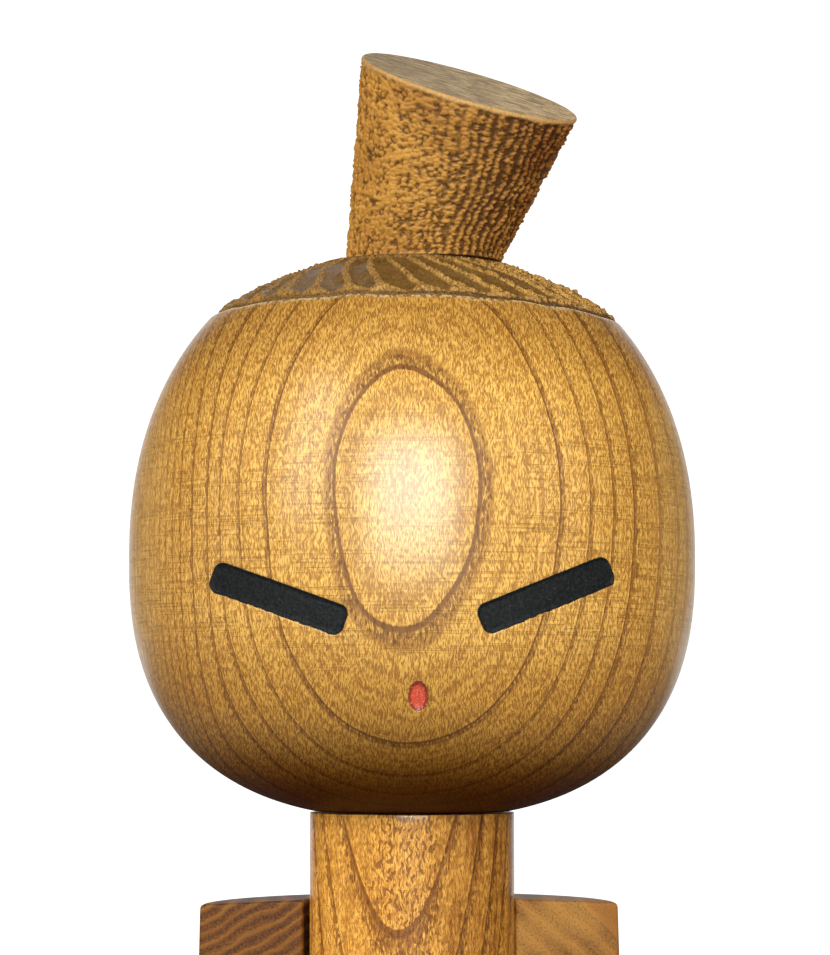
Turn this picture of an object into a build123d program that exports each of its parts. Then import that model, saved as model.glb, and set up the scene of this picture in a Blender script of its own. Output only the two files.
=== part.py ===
"""A turned wooden kokeshi doll in zelkova: a samurai boy with a leaning topknot.

Millimetres. +Z is up and the doll faces -Y. The origin is the centre of the
robe's foot, so the doll stands on the plane z = 0. "Left" and "right" are the
doll's own: its left hand is on the +X side.

From the floor up: a turned robe, a round body column tenoned into it, a
half-ring shoulder yoke pinned to the column's back, a snap-in neck peg, and the
round head that turns on that peg, with a glued topknot on its crown.
"""

import os
from math import cos, radians, sin, tan

from build123d import *

# ---- Fits ---------------------------------------------------------------
GLUE_GAP = 0.05  # radial room round a glued dowel, tenon or peg
END_GAP = 0.5  # room past the end of a dowel or tenon in its blind hole
TURN_GAP = 0.1  # radial room where the head turns on its peg

# ---- Robe: the turned foot of the doll ------------------------------------
ROBE_HEIGHT = 60.0
HEM_RADIUS = 37.0
WAIST_RADIUS = 28.5
ROBE_HOLLOW = 2.6  # how far the flank curves in from a straight cone
HEM_BAND = 3.0  # height of the upright band at the hem
HEM_ROUNDING = 1.2
WAIST_ROUNDING = 1.6

# ---- Body column -----------------------------------------------------------
COLUMN_RADIUS = 16.2
COLUMN_CHAMFER = 0.4
NECK_LENGTH = 13.7  # bare column between the shoulders and the head
TENON_RADIUS = 9.0
TENON_LENGTH = 24.0
TENON_CHAMFER = 1.0

# ---- Shoulder yoke: a half ring round the column's back ---------------------
YOKE_RADIUS = 33.4
YOKE_HEIGHT = 28.0
YOKE_BORE_GAP = 0.55  # the bore is this much larger in radius than the column
YOKE_SHIFT = 0.5  # the yoke sits this far to the doll's right of centre
SHOULDER_SLOPE = 2.0  # degrees that the top falls towards its rim
YOKE_BULGE = 0.3  # how far the flank swells between its edges
YOKE_ROUNDING = 0.7
YOKE_SEAT = 0.1  # glue line between the robe and the yoke
YOKE_DOWEL_RADIUS = 3.0
YOKE_DOWEL_DEPTH = 7.0  # how far each dowel reaches into column and yoke
YOKE_DOWEL_SPACING = 13.0

# ---- Neck peg ---------------------------------------------------------------
PEG_RADIUS = 6.5
PEG_SUNK = 22.0  # glued length in the column
PEG_CHAMFER = 0.8
PEG_WAIST_RADIUS = 5.8  # at the mouth of the head's socket
PEG_BULB_RADIUS = 6.5  # the swell that snaps into the socket
PEG_TIP_RADIUS = 4.6
PEG_WAIST_HEIGHT = 5.0
PEG_BULB_HEIGHT = 13.0
PEG_RISE = 23.0  # above the column's top
PEG_TIP_SLOPE = 0.6  # how far the nose runs in for each millimetre up, at its tip
PEG_TOP_GAP = 0.3

# ---- Head: a superellipse turned about the neck's axis ----------------------
NECK_GAP = 0.35  # open line between the column and the head
HEAD_RADIUS = 45.0
FACE_DROP = 40.3  # from the widest level down to the flat under the chin
LOWER_HEIGHT = 41.5  # half height of the superellipse below the widest level
LOWER_POWER = 2.5
UPPER_HEIGHT = 51.0  # half height of the superellipse above the widest level
UPPER_POWER = 2.2
HAIRLINE_RISE = 37.0  # above the widest level
HAIR_STEP = 0.5  # depth of the turned line between face and hair
HAIR_DOME_RADIUS = 50.0
HAIR_CROWN_RISE = 49.1  # crown of the hair dome above the widest level
CROWN_FLAT_RADIUS = 15.4  # turned flat that the topknot stands on

# ---- Topknot: a turned cone that leans forward to the doll's left ----------
KNOT_TOP_RADIUS = 17.8
KNOT_LENGTH = 33.6  # along its own axis, from its pivot point to its top face
KNOT_FLARE = 11.2  # degrees between the cone's axis and its flank
KNOT_LEAN = 24.2  # degrees from upright
KNOT_BEARING = 41.6  # degrees of the lean, from straight ahead to the left
KNOT_PIVOT_RISE = 43.3  # where its axis meets the head's, above the widest level
KNOT_ROUNDING = 0.7
KNOT_DOWEL_RADIUS = 4.0
KNOT_DOWEL_SUNK = 10.0  # below the pivot point, in the head
KNOT_DOWEL_RISE = 16.0  # above the pivot point, in the topknot

# ---- Painted features, in shallow carved hollows ---------------------------
EYE_DEPTH = 0.55
EYE_PAINT = 0.3  # thickness of the black filling on the hollow's floor
EYE_WIDTH = 4.5
EYE_CORNER = 1.3
LEFT_EYE = ((10.0, -11.0), (29.8, -3.9))  # inner end, outer end: across, up
RIGHT_EYE = ((-9.8, -11.4), (-29.9, -4.9))
MOUTH_DEPTH = 0.8
MOUTH_PAINT = 0.3
MOUTH_CENTRE = (0.9, -22.3)
MOUTH_WIDTH = 2.9
MOUTH_HEIGHT = 4.4

# ---- Levels that follow from the sizes above --------------------------------
YOKE_BASE = ROBE_HEIGHT + YOKE_SEAT
YOKE_TOP = YOKE_BASE + YOKE_HEIGHT
COLUMN_TOP = YOKE_TOP + NECK_LENGTH
HEAD_BASE = COLUMN_TOP + NECK_GAP
HEAD_MID = HEAD_BASE + FACE_DROP
CURVE_STEPS = 8  # points that carry a superellipse's quarter


def turned(outline):
    """Solid of revolution about Z of a closed outline drawn as (radius, height)."""
    return revolve(Plane.XZ * make_face(outline), Axis.Z)


def face_radius(rise, inset=0.0):
    """Radius of the face's superellipse at a rise above the widest level."""
    height = UPPER_HEIGHT if rise > 0 else LOWER_HEIGHT
    power = UPPER_POWER if rise > 0 else LOWER_POWER
    share = abs(rise) / (height - inset)
    return (HEAD_RADIUS - inset) * (1 - share**power) ** (1 / power)


def face_outline(inset=0.0):
    """Curves of the face from the flat under the chin to the hairline."""
    turns = [radians(90 * i / CURVE_STEPS) for i in range(CURVE_STEPS + 1)]
    lower = [-FACE_DROP * cos(turn) for turn in turns]
    upper = [HAIRLINE_RISE * sin(turn) for turn in turns]
    return Spline(*[(face_radius(rise, inset), HEAD_MID + rise) for rise in lower + upper[1:]])


def face_core(inset):
    """The turned face alone, shrunk by an inset on every side."""
    low, high = HEAD_BASE, HEAD_MID + HAIRLINE_RISE
    outline = face_outline(inset)
    outline += Line(outline @ 1, (0, high)) + Line((0, high), (0, low))
    outline += Line((0, low), outline @ 0)
    return turned(outline)


def dome_rise(radius):
    """Rise of the hair dome above the widest level, at a radius from the axis."""
    return HAIR_CROWN_RISE - HAIR_DOME_RADIUS + (HAIR_DOME_RADIUS**2 - radius**2) ** 0.5


def dome_radius(rise):
    """Radius of the hair dome at a rise above the widest level."""
    drop = HAIR_CROWN_RISE - rise
    return (HAIR_DOME_RADIUS**2 - (HAIR_DOME_RADIUS - drop) ** 2) ** 0.5


def peg_outline(grow, base, top):
    """Right half of the peg's waist, bulb and tip, made larger all round by grow."""
    waist = (PEG_WAIST_RADIUS + grow, COLUMN_TOP + PEG_WAIST_HEIGHT)
    bulb = (PEG_BULB_RADIUS + grow, COLUMN_TOP + PEG_BULB_HEIGHT)
    tip = (PEG_TIP_RADIUS + grow, top)
    outline = Line((0, base), (waist[0], base)) + Line((waist[0], base), waist)
    outline += Spline(waist, bulb, tip, tangents=[(0, 1), (-PEG_TIP_SLOPE, 1)])
    return outline + Line(tip, (0, top)) + Line((0, top), (0, base))


def knot_plane():
    """Plane at the topknot's pivot point, with its normal up the leaning axis."""
    across = sin(radians(KNOT_LEAN)) * sin(radians(KNOT_BEARING))
    ahead = -sin(radians(KNOT_LEAN)) * cos(radians(KNOT_BEARING))
    pivot = (0, 0, HEAD_MID + KNOT_PIVOT_RISE)
    return Plane(origin=pivot, z_dir=(across, ahead, cos(radians(KNOT_LEAN))))


def rod(plane, radius, low, high):
    """Round rod along a plane's normal, between two offsets from the plane."""
    return plane.offset(low) * Cylinder(
        radius, high - low, align=(Align.CENTER, Align.CENTER, Align.MIN)
    )


def eye_bar(ends):
    """Round-cornered bar through an eye, from well inside the head to its front."""
    (inner_x, inner_z), (outer_x, outer_z) = ends
    run = Vector(outer_x - inner_x, outer_z - inner_z)
    turn = run.get_signed_angle(Vector(1, 0), Vector(0, 0, -1))
    centre = ((inner_x + outer_x) / 2, (inner_z + outer_z) / 2 + HEAD_MID)
    bar = RectangleRounded(run.length, EYE_WIDTH, EYE_CORNER)
    return extrude(Plane.XZ * Pos(*centre) * Rot(0, 0, turn) * bar, HEAD_RADIUS)


def mouth_drop():
    """Oval bar through the mouth, from inside the head to its front."""
    oval = Ellipse(MOUTH_WIDTH / 2, MOUTH_HEIGHT / 2)
    centre = Pos(MOUTH_CENTRE[0], MOUTH_CENTRE[1] + HEAD_MID)
    return extrude(Plane.XZ * centre * oval, HEAD_RADIUS)


def robe():
    """Flared foot with a blind hole for the column's tenon."""
    hem = Line((0, 0), (HEM_RADIUS, 0)) + Line((HEM_RADIUS, 0), (HEM_RADIUS, HEM_BAND))
    middle_radius = (HEM_RADIUS + WAIST_RADIUS) / 2 - ROBE_HOLLOW
    middle_height = (HEM_BAND + ROBE_HEIGHT) / 2
    flank = ThreePointArc(
        (HEM_RADIUS, HEM_BAND), (middle_radius, middle_height), (WAIST_RADIUS, ROBE_HEIGHT)
    )
    close = Line((WAIST_RADIUS, ROBE_HEIGHT), (0, ROBE_HEIGHT)) + Line((0, ROBE_HEIGHT), (0, 0))
    body = turned(hem + flank + close)
    rims = body.edges().filter_by(GeomType.CIRCLE).sort_by(Axis.Z)
    body = fillet(rims[0], HEM_ROUNDING)
    rims = body.edges().filter_by(GeomType.CIRCLE).sort_by(Axis.Z)
    body = fillet(rims[-1], WAIST_ROUNDING)
    depth = TENON_LENGTH + END_GAP
    return body - rod(Plane.XY, TENON_RADIUS + GLUE_GAP, ROBE_HEIGHT - depth, ROBE_HEIGHT)


def yoke_dowel_planes():
    """Planes on the column's axis, one for each dowel, facing the doll's back."""
    middle = YOKE_BASE + YOKE_HEIGHT / 2
    levels = (middle - YOKE_DOWEL_SPACING / 2, middle + YOKE_DOWEL_SPACING / 2)
    return [Plane(origin=(0, 0, level), z_dir=(0, 1, 0)) for level in levels]


def body_column():
    """Round body and neck in one: tenon below, peg hole above, dowel holes behind."""
    column = rod(Plane.XY, COLUMN_RADIUS, ROBE_HEIGHT, COLUMN_TOP)
    rim = column.edges().filter_by(GeomType.CIRCLE).sort_by(Axis.Z)[-1]
    column = chamfer(rim, COLUMN_CHAMFER)
    tenon = rod(Plane.XY, TENON_RADIUS, ROBE_HEIGHT - TENON_LENGTH, ROBE_HEIGHT)
    foot = tenon.edges().filter_by(GeomType.CIRCLE).sort_by(Axis.Z)[0]
    column += chamfer(foot, TENON_CHAMFER)
    column -= rod(Plane.XY, PEG_RADIUS + GLUE_GAP, COLUMN_TOP - PEG_SUNK - END_GAP, COLUMN_TOP)
    hole_floor = COLUMN_RADIUS - YOKE_DOWEL_DEPTH - END_GAP
    for plane in yoke_dowel_planes():
        column -= rod(plane, YOKE_DOWEL_RADIUS + GLUE_GAP, hole_floor, 2 * COLUMN_RADIUS)
    return column


def shoulder_yoke():
    """Half ring with a flat front, a sloping top and a slightly swelled flank."""
    bore = COLUMN_RADIUS + YOKE_BORE_GAP
    fall = (YOKE_RADIUS - bore) * tan(radians(SHOULDER_SLOPE))
    rim_top = YOKE_TOP - fall
    flank = ThreePointArc(
        (YOKE_RADIUS - YOKE_BULGE, YOKE_BASE),
        (YOKE_RADIUS, (YOKE_BASE + rim_top) / 2),
        (YOKE_RADIUS - YOKE_BULGE, rim_top),
    )
    outline = Line((bore, YOKE_BASE), flank @ 0) + flank
    outline += Line(flank @ 1, (bore, YOKE_TOP)) + Line((bore, YOKE_TOP), (bore, YOKE_BASE))
    half_ring = revolve(Plane.XZ * make_face(outline), Axis.Z, 180)
    arcs = half_ring.edges().filter_by(GeomType.CIRCLE)
    rims = [arc for arc in arcs if abs(arc.radius - (YOKE_RADIUS - YOKE_BULGE)) < GLUE_GAP]
    half_ring = Pos(-YOKE_SHIFT, 0, 0) * fillet(rims, YOKE_ROUNDING)
    hole_floor = bore + YOKE_DOWEL_DEPTH + END_GAP
    for plane in yoke_dowel_planes():
        half_ring -= rod(plane, YOKE_DOWEL_RADIUS + GLUE_GAP, 0, hole_floor)
    return half_ring


def yoke_dowels():
    """Two short dowels that pin the yoke to the column's back."""
    low = COLUMN_RADIUS - YOKE_DOWEL_DEPTH
    high = COLUMN_RADIUS + YOKE_BORE_GAP + YOKE_DOWEL_DEPTH
    return [rod(plane, YOKE_DOWEL_RADIUS, low, high) for plane in yoke_dowel_planes()]


def neck_peg():
    """Hard peg glued into the column, with the swelled end that holds the head."""
    shank = rod(Plane.XY, PEG_RADIUS, COLUMN_TOP - PEG_SUNK, COLUMN_TOP)
    foot = shank.edges().filter_by(GeomType.CIRCLE).sort_by(Axis.Z)[0]
    return chamfer(foot, PEG_CHAMFER) + turned(peg_outline(0, COLUMN_TOP, COLUMN_TOP + PEG_RISE))


def head():
    """Turned head with its socket, carved hollows, crown flat and topknot hole."""
    hairline = HEAD_MID + HAIRLINE_RISE
    step_radius = dome_radius(HAIRLINE_RISE) - HAIR_STEP
    flat_level = HEAD_MID + dome_rise(CROWN_FLAT_RADIUS)
    hair_middle = (dome_radius(HAIRLINE_RISE) + CROWN_FLAT_RADIUS) / 2
    face = face_outline()
    hair_base = (dome_radius(HAIRLINE_RISE + HAIR_STEP), hairline + HAIR_STEP)
    outline = face + Line(face @ 1, (step_radius, hairline))
    outline += Line((step_radius, hairline), hair_base)
    outline += ThreePointArc(
        hair_base,
        (hair_middle, HEAD_MID + dome_rise(hair_middle)),
        (CROWN_FLAT_RADIUS, flat_level),
    )
    outline += Line((CROWN_FLAT_RADIUS, flat_level), (0, flat_level))
    outline += Line((0, flat_level), (0, HEAD_BASE)) + Line((0, HEAD_BASE), face @ 0)
    block = turned(outline)
    block -= turned(peg_outline(TURN_GAP, HEAD_BASE - NECK_GAP, COLUMN_TOP + PEG_RISE + PEG_TOP_GAP))
    hole = KNOT_DOWEL_RADIUS + GLUE_GAP
    block -= rod(knot_plane(), hole, -KNOT_DOWEL_SUNK - END_GAP, KNOT_LENGTH)
    eye_floor = face_core(EYE_DEPTH)
    for ends in (LEFT_EYE, RIGHT_EYE):
        block -= eye_bar(ends) - eye_floor
    return block - (mouth_drop() - face_core(MOUTH_DEPTH))


def topknot():
    """Leaning cone, cut level underneath to stand on the crown flat."""
    plane = knot_plane()
    below = HAIR_DOME_RADIUS
    foot_radius = KNOT_TOP_RADIUS - (KNOT_LENGTH + below) * tan(radians(KNOT_FLARE))
    cone = plane.offset(-below) * Cone(
        foot_radius,
        KNOT_TOP_RADIUS,
        KNOT_LENGTH + below,
        align=(Align.CENTER, Align.CENTER, Align.MIN),
    )
    rim = cone.edges().filter_by(GeomType.CIRCLE).sort_by(Axis.Z)[-1]
    cone = fillet(rim, KNOT_ROUNDING)
    flat_level = HEAD_MID + dome_rise(CROWN_FLAT_RADIUS)
    cone = split(cone, Plane(origin=(0, 0, flat_level)), keep=Keep.TOP)
    hole = KNOT_DOWEL_RADIUS + GLUE_GAP
    return cone - rod(plane, hole, -KNOT_DOWEL_SUNK, KNOT_DOWEL_RISE + END_GAP)


def topknot_dowel():
    """Dowel on the topknot's own axis, glued at both ends."""
    return rod(knot_plane(), KNOT_DOWEL_RADIUS, -KNOT_DOWEL_SUNK, KNOT_DOWEL_RISE)


def paint_film(bar, depth, thickness):
    """Paint on the floor of a carved hollow: a slice of the face under the bar."""
    return bar & (face_core(depth - thickness) - face_core(depth))


PARTS = {
    "robe": robe,
    "body_column": body_column,
    "shoulder_yoke": shoulder_yoke,
    "yoke_dowels": yoke_dowels,
    "neck_peg": neck_peg,
    "head": head,
    "topknot": topknot,
    "topknot_dowel": topknot_dowel,
    "left_eye_paint": lambda: paint_film(eye_bar(LEFT_EYE), EYE_DEPTH, EYE_PAINT),
    "right_eye_paint": lambda: paint_film(eye_bar(RIGHT_EYE), EYE_DEPTH, EYE_PAINT),
    "mouth_paint": lambda: paint_film(mouth_drop(), MOUTH_DEPTH, MOUTH_PAINT),
}

os.makedirs("parts", exist_ok=True)
for node, make in PARTS.items():
    shape = make()
    solids = shape if isinstance(shape, list) else shape.solids()
    export_step(Compound(children=list(solids)), f"parts/{node}.step")
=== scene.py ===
"""Looks of the turned kokeshi doll: carved hair, torn topknot, zelkova figure and paint.

Laid out as an add-on: sizes and colours are properties, each piece or group of like
pieces has an operator, and a panel lists them. Lengths in the shape functions are in
millimetres from the centre of the doll's foot, with +Z up and the doll facing -Y. An
azimuth is measured about the neck from straight ahead towards the doll's left (+X).
"""

import bpy
import numpy as np
from bpy.props import FloatProperty, FloatVectorProperty, IntProperty, PointerProperty
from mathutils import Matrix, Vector


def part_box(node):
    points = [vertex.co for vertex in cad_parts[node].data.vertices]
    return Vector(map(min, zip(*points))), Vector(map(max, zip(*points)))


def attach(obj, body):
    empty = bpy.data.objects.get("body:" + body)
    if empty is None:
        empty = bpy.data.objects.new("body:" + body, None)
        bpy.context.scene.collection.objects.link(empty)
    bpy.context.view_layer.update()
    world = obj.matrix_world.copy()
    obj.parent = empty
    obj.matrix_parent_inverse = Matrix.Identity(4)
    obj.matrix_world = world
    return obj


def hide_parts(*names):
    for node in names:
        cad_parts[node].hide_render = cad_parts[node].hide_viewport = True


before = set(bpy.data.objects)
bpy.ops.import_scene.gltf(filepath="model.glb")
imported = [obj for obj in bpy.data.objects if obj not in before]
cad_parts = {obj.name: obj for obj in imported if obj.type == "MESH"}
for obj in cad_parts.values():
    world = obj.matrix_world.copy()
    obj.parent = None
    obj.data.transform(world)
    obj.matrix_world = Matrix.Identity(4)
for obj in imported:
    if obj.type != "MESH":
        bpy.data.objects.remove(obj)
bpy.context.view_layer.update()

bl_info = {
    "name": "Turned kokeshi doll",
    "version": (1, 0, 0),
    "blender": (4, 5, 0),
    "location": "3D View > Sidebar > Kokeshi",
    "description": "Builds the carved, figured and painted surfaces of a turned wooden doll",
    "category": "Object",
}

MM = 0.001


def node_span(node):
    """Lowest and highest corner of a solid of the frame, in millimetres."""
    low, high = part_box(node)
    return np.array(low) / MM, np.array(high) / MM


HEAD_LOW, HEAD_HIGH = node_span("head")
COLUMN_LOW, COLUMN_HIGH = node_span("body_column")
YOKE_LOW, YOKE_HIGH = node_span("shoulder_yoke")
ROBE_HIGH = node_span("robe")[1]

HEAD_RADIUS = HEAD_HIGH[0]
HEAD_BASE = HEAD_LOW[2]
CROWN_LEVEL = HEAD_HIGH[2]
FACE_DROP = 40.3  # from the widest level down to the flat under the chin
HEAD_MID = HEAD_BASE + FACE_DROP
LOWER_HEIGHT, LOWER_POWER = 41.5, 2.5
UPPER_HEIGHT, UPPER_POWER = 51.0, 2.2
HAIRLINE_RISE = 37.0
DOME_RADIUS, DOME_CROWN = 50.0, 49.1
CROWN_FLAT_RADIUS = 15.4

KNOT_PIVOT = np.array([0.0, 0.0, HEAD_MID + 43.3])
KNOT_LEAN, KNOT_BEARING = np.radians(24.2), np.radians(41.6)
KNOT_LENGTH = 33.6
KNOT_TOP_RADIUS = 17.8
KNOT_FLARE = np.tan(np.radians(11.2))
KNOT_AXIS = np.array([
    np.sin(KNOT_LEAN) * np.sin(KNOT_BEARING),
    -np.sin(KNOT_LEAN) * np.cos(KNOT_BEARING),
    np.cos(KNOT_LEAN),
])
FURROW_SIDE = np.radians(20.0)  # from the topknot's side towards its lean, at the deepest furrows

COLUMN_RADIUS = COLUMN_HIGH[0]
YOKE_RADIUS = (YOKE_HIGH[0] - YOKE_LOW[0]) / 2
YOKE_CENTRE = (YOKE_HIGH[0] + YOKE_LOW[0]) / 2

EYES = {
    "left_eye_paint": ((10.0, -11.5), (29.8, -3.4)),
    "right_eye_paint": ((-9.8, -11.65), (-29.9, -4.3)),
}
EYE_WIDTH, EYE_CORNER = 4.65, 1.45
MOUTH_CENTRE, MOUTH_HALF = (0.9, -22.3), (1.45, 2.2)

# Lowest rise, highest rise and added share of rows at the eyes, the mouth and the hairline.
FINE_ROWS = ((-14.8, -0.6, 3.2), (-25.4, -19.2, 3.2), (35.6, HAIRLINE_RISE + 1, 2.0))

FLUTES = 32
CREST_BEARING = 5.0  # degrees from straight ahead to the nearest crest at the hairline
FLUTE_OFFSET = 1 - CREST_BEARING / 360 * FLUTES

# Depths of the head's growth rings behind the front of the face.
NEAR_RINGS = [-9.0, -3.0, 1.91, 6.98, 10.09, 13.15, 16.45, 22.15, 28.2]
FAR_RING_SPACING, FAR_RINGS = 4.6, 20
RING_DEPTHS = NEAR_RINGS + [
    NEAR_RINGS[-1] + FAR_RING_SPACING * step for step in range(1, FAR_RINGS + 1)
]
RING_CENTRE = HEAD_MID + 8.9  # height that the bow of the rings is measured from
RING_BOW = (2.1e-6, 3.87e-5, 0.002501, 0.10821, 0.0)  # from the fourth power of height down
RING_SLANT, RING_CURL = 0.0362, 0.0036
CROWD_FROM, CROWD_GAIN = 27.0, 0.12  # rings crowd together past this distance to the doll's right
SIDE_BLEND = 15.0  # half width over which the yoke's two figures run into each other

# Linear colours of details that have no property of their own.
WHITE = (1.0, 1.0, 1.0)
# Gold of the brighter wood between the rays and in the column's pale streaks, partly a painted
# sheen.
SHEEN_GOLD = (0.98, 0.63, 0.17)
# Pale gold on the head's flanks: a painted reflection of the white backdrop.
FLANK_PAINTED_REFLECTION = (0.95, 0.64, 0.27)
# Painted shade: these darken the lower face, the chin's underside and the upper brow; under the
# chin this also stands in part for darker end grain.
CHEEK_PAINTED_SHADE, CHIN_PAINTED_SHADE, BROW_PAINTED_SHADE = (0.76, 0.67, 0.48), (0.16, 0.07, 0.01), (0.60, 0.52, 0.42)
LIP_DARK, LIP_PALE = (0.20, 0.095, 0.025), (0.66, 0.44, 0.19)
VALLEY_PALE = (0.205, 0.11, 0.027)
RIM_DARK, RIM_PALE = (0.40, 0.20, 0.06), (0.58, 0.33, 0.12)
SAWN_DARK, SAWN_PALE = (0.25, 0.15, 0.055), (0.66, 0.46, 0.22)
SAWN_PORE, SAWN_SHADE = (0.08, 0.04, 0.014), (0.12, 0.08, 0.035)
# The last colour here is painted shade, darkening the column towards the doll's left.
COLUMN_STREAK, COLUMN_TONE, COLUMN_PAINTED_SHADE = (0.42, 0.27, 0.14), (1.06, 0.90, 0.70), (0.6, 0.56, 0.5)
SWIRL_PALE, YOKE_FLECK = (0.55, 0.31, 0.09), (0.48, 0.24, 0.06)
YOKE_PALE, YOKE_LEFT_TONE = (0.66, 0.36, 0.11), (0.50, 0.27, 0.07)
YOKE_CORNER, YOKE_TONE = (0.33, 0.13, 0.025), (0.92, 0.80, 0.55)
YOKE_RIGHT_SHADE = (0.52, 0.40, 0.16)
INK_WORN, INK_SPECK = (0.016, 0.017, 0.018), (0.12, 0.07, 0.035)
# The light red specks on the mouth are painted glints.
RED_PAINTED_GLINT = (0.80, 0.22, 0.17)
DOWEL_DARK, DOWEL_PALE = (0.52, 0.36, 0.19), (0.62, 0.46, 0.27)
PAPER_FIBRE, PAPER_BOUNCE = (0.7, 0.7, 0.68), (0.2, 0.2, 0.2)
KEY_TINT, FILL_TINT = (0.93, 1.0, 0.97), (1.0, 0.91, 0.8)

CAMERA_PLACE, CAMERA_TURN, CAMERA_LENS = (0.0, -0.531, 0.1178), (94.02, 0.0, -0.05), 125.6


# ---- Properties -------------------------------------------------------------


def colour(name, description, default):
    """Colour property of the doll, as linear red, green and blue."""
    return FloatVectorProperty(
        name=name, description=description, default=default, subtype="COLOR", min=0.0, max=1.0
    )


def length(name, description, default):
    """Length property in millimetres."""
    return FloatProperty(name=name, description=description, default=default, min=0.0)


def number(name, description, default):
    """Plain number property."""
    return FloatProperty(name=name, description=description, default=default)


class DollSizes(bpy.types.PropertyGroup):
    """Sizes of the carved and torn surfaces."""

    flutes: IntProperty(
        name="Hair flutes",
        description="Carved flutes round the hair",
        default=FLUTES,
        min=8,
        max=60,
    )
    flute_depth: length("Flute depth", "Depth of a hair flute, in millimetres", 1.0)
    flute_sweep: FloatProperty(
        name="Flute sweep",
        description="Turn of a flute from the topknot to the hairline",
        default=np.radians(19.0),
        subtype="ANGLE",
    )
    hairline_tilt: length("Hairline tilt", "Rise of the hairline from level at the side", 0.6)
    hairline_arch: length("Hairline arch", "Fall of the hairline from the front to the side", 1.0)
    tear_depth: length("Tear depth", "Depth of the torn pits in the topknot's flank", 0.75)
    eye_hollow: length("Eye hollow", "Depth of the carved eyes below the face", 0.32)
    ring_spacing: length("Ring spacing", "Distance between growth rings on the head", 4.12)
    yoke_roll: FloatProperty(
        name="Yoke roll",
        description="How far the yoke was glued out of level",
        default=np.radians(0.25),
        subtype="ANGLE",
    )


class DollColours(bpy.types.PropertyGroup):
    """Colours of the wood and the paint."""

    gold: colour("Gold", "Lacquered side grain", (0.85, 0.485, 0.108))
    honey: colour("Honey", "Deeper side grain near a ring", (0.69, 0.345, 0.055))
    ray_brown: colour("Ray brown", "Fine dashes of the rays", (0.36, 0.145, 0.023))
    ring_brown: colour("Ring brown", "Pore lines of the growth rings", (0.22, 0.078, 0.013))
    pore_brown: colour("Pore brown", "Open pores", (0.06, 0.022, 0.008))
    hair_valley: colour("Hair valley", "Smooth bottom of a flute", (0.155, 0.078, 0.016))
    hair_crest: colour("Hair crest", "Crumbled edge of a flute", (0.62, 0.33, 0.085))
    torn_light: colour("Torn light", "Raised fibres of the topknot", (0.53, 0.255, 0.048))
    torn_dark: colour("Torn dark", "Pits of the topknot", (0.12, 0.048, 0.010))
    end_grain: colour("End grain", "Sawn end grain", (0.30, 0.135, 0.030))
    end_band: colour("End grain band", "Dark bands in the end grain", (0.11, 0.038, 0.007))
    ink: colour("Eye paint", "Black paint of the eyes", (0.005, 0.006, 0.007))
    vermilion: colour("Mouth paint", "Red paint of the mouth", (0.64, 0.075, 0.035))
    vermilion_edge: colour("Mouth edge", "Red paint where it thins out", (0.24, 0.035, 0.02))


class StageSettings(bpy.types.PropertyGroup):
    """Light and floor of the studio."""

    paper: colour("Paper", "Colour of the paper sweep", (0.8, 0.8, 0.79))
    key_power: number("Key power", "Soft front window", 8.5)
    side_power: number("Side power", "Tall window at front left", 2.2)
    fill_power: number("Fill power", "Faint lights at both sides", 4.0)
    sky: number("Sky", "Strength of the even light all round", 0.03)
    glow: number("Paper glow", "Backlight of the far paper", 0.93)


# ---- Arrays and meshes --------------------------------------------------------


def smooth(low, high, value):
    """Runs from 0 at low to 1 at high as 3t² - 2t³, and stays level outside."""
    t = np.clip((value - low) / (high - low), 0.0, 1.0)
    return t * t * (3 - 2 * t)


def lattice_noise(u, v, around, along, seed):
    """Value noise that wraps in u: random lattice values blended with 3t² - 2t³."""
    lattice = np.random.default_rng(seed).random((along + 2, around))
    x, y = u * around, v * along
    column, row = np.floor(x).astype(int), np.clip(np.floor(y).astype(int), 0, along)
    s, t = smooth(0, 1, x - column), smooth(0, 1, y - row)
    left, right = column % around, (column + 1) % around
    low = lattice[row, left] * (1 - s) + lattice[row, right] * s
    high = lattice[row + 1, left] * (1 - s) + lattice[row + 1, right] * s
    return low * (1 - t) + high * t


def ring_noise(u, around, seed):
    """Value noise round a ring: the first row of the lattice."""
    return lattice_noise(u, u * 0, around, 2, seed)


def crumb_noise(u, v, around, along, seed):
    """Crumbs that wrap in u: 0 on the border between two crumbs and about 1 at a middle.

    Each lattice cell holds one random point, and the value is the distance to the
    second nearest point less the distance to the nearest.
    """
    points = np.random.default_rng(seed).random((along + 3, around, 2))
    x, y = u * around, v * along
    column, row = np.floor(x).astype(int), np.floor(y).astype(int)
    distances = []
    for step_x in (-1, 0, 1):
        for step_y in (-1, 0, 1):
            jitter = points[np.clip(row + step_y + 1, 0, along + 2), (column + step_x) % around]
            away_x = column + step_x + jitter[..., 0] - x
            away_y = row + step_y + jitter[..., 1] - y
            distances.append(np.hypot(away_x, away_y))
    nearest = np.sort(np.stack(distances), axis=0)
    return nearest[1] - nearest[0]


def spread(positions, weights, count, closed=False):
    """Places count positions so that their spacing is inverse to the weights."""
    steps = np.diff(positions) * (weights[1:] + weights[:-1]) / 2
    travelled = np.concatenate([[0.0], np.cumsum(steps)])
    wanted = np.linspace(0, travelled[-1], count + 1 if closed else count)
    return np.interp(wanted[:count], travelled, positions)


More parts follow.
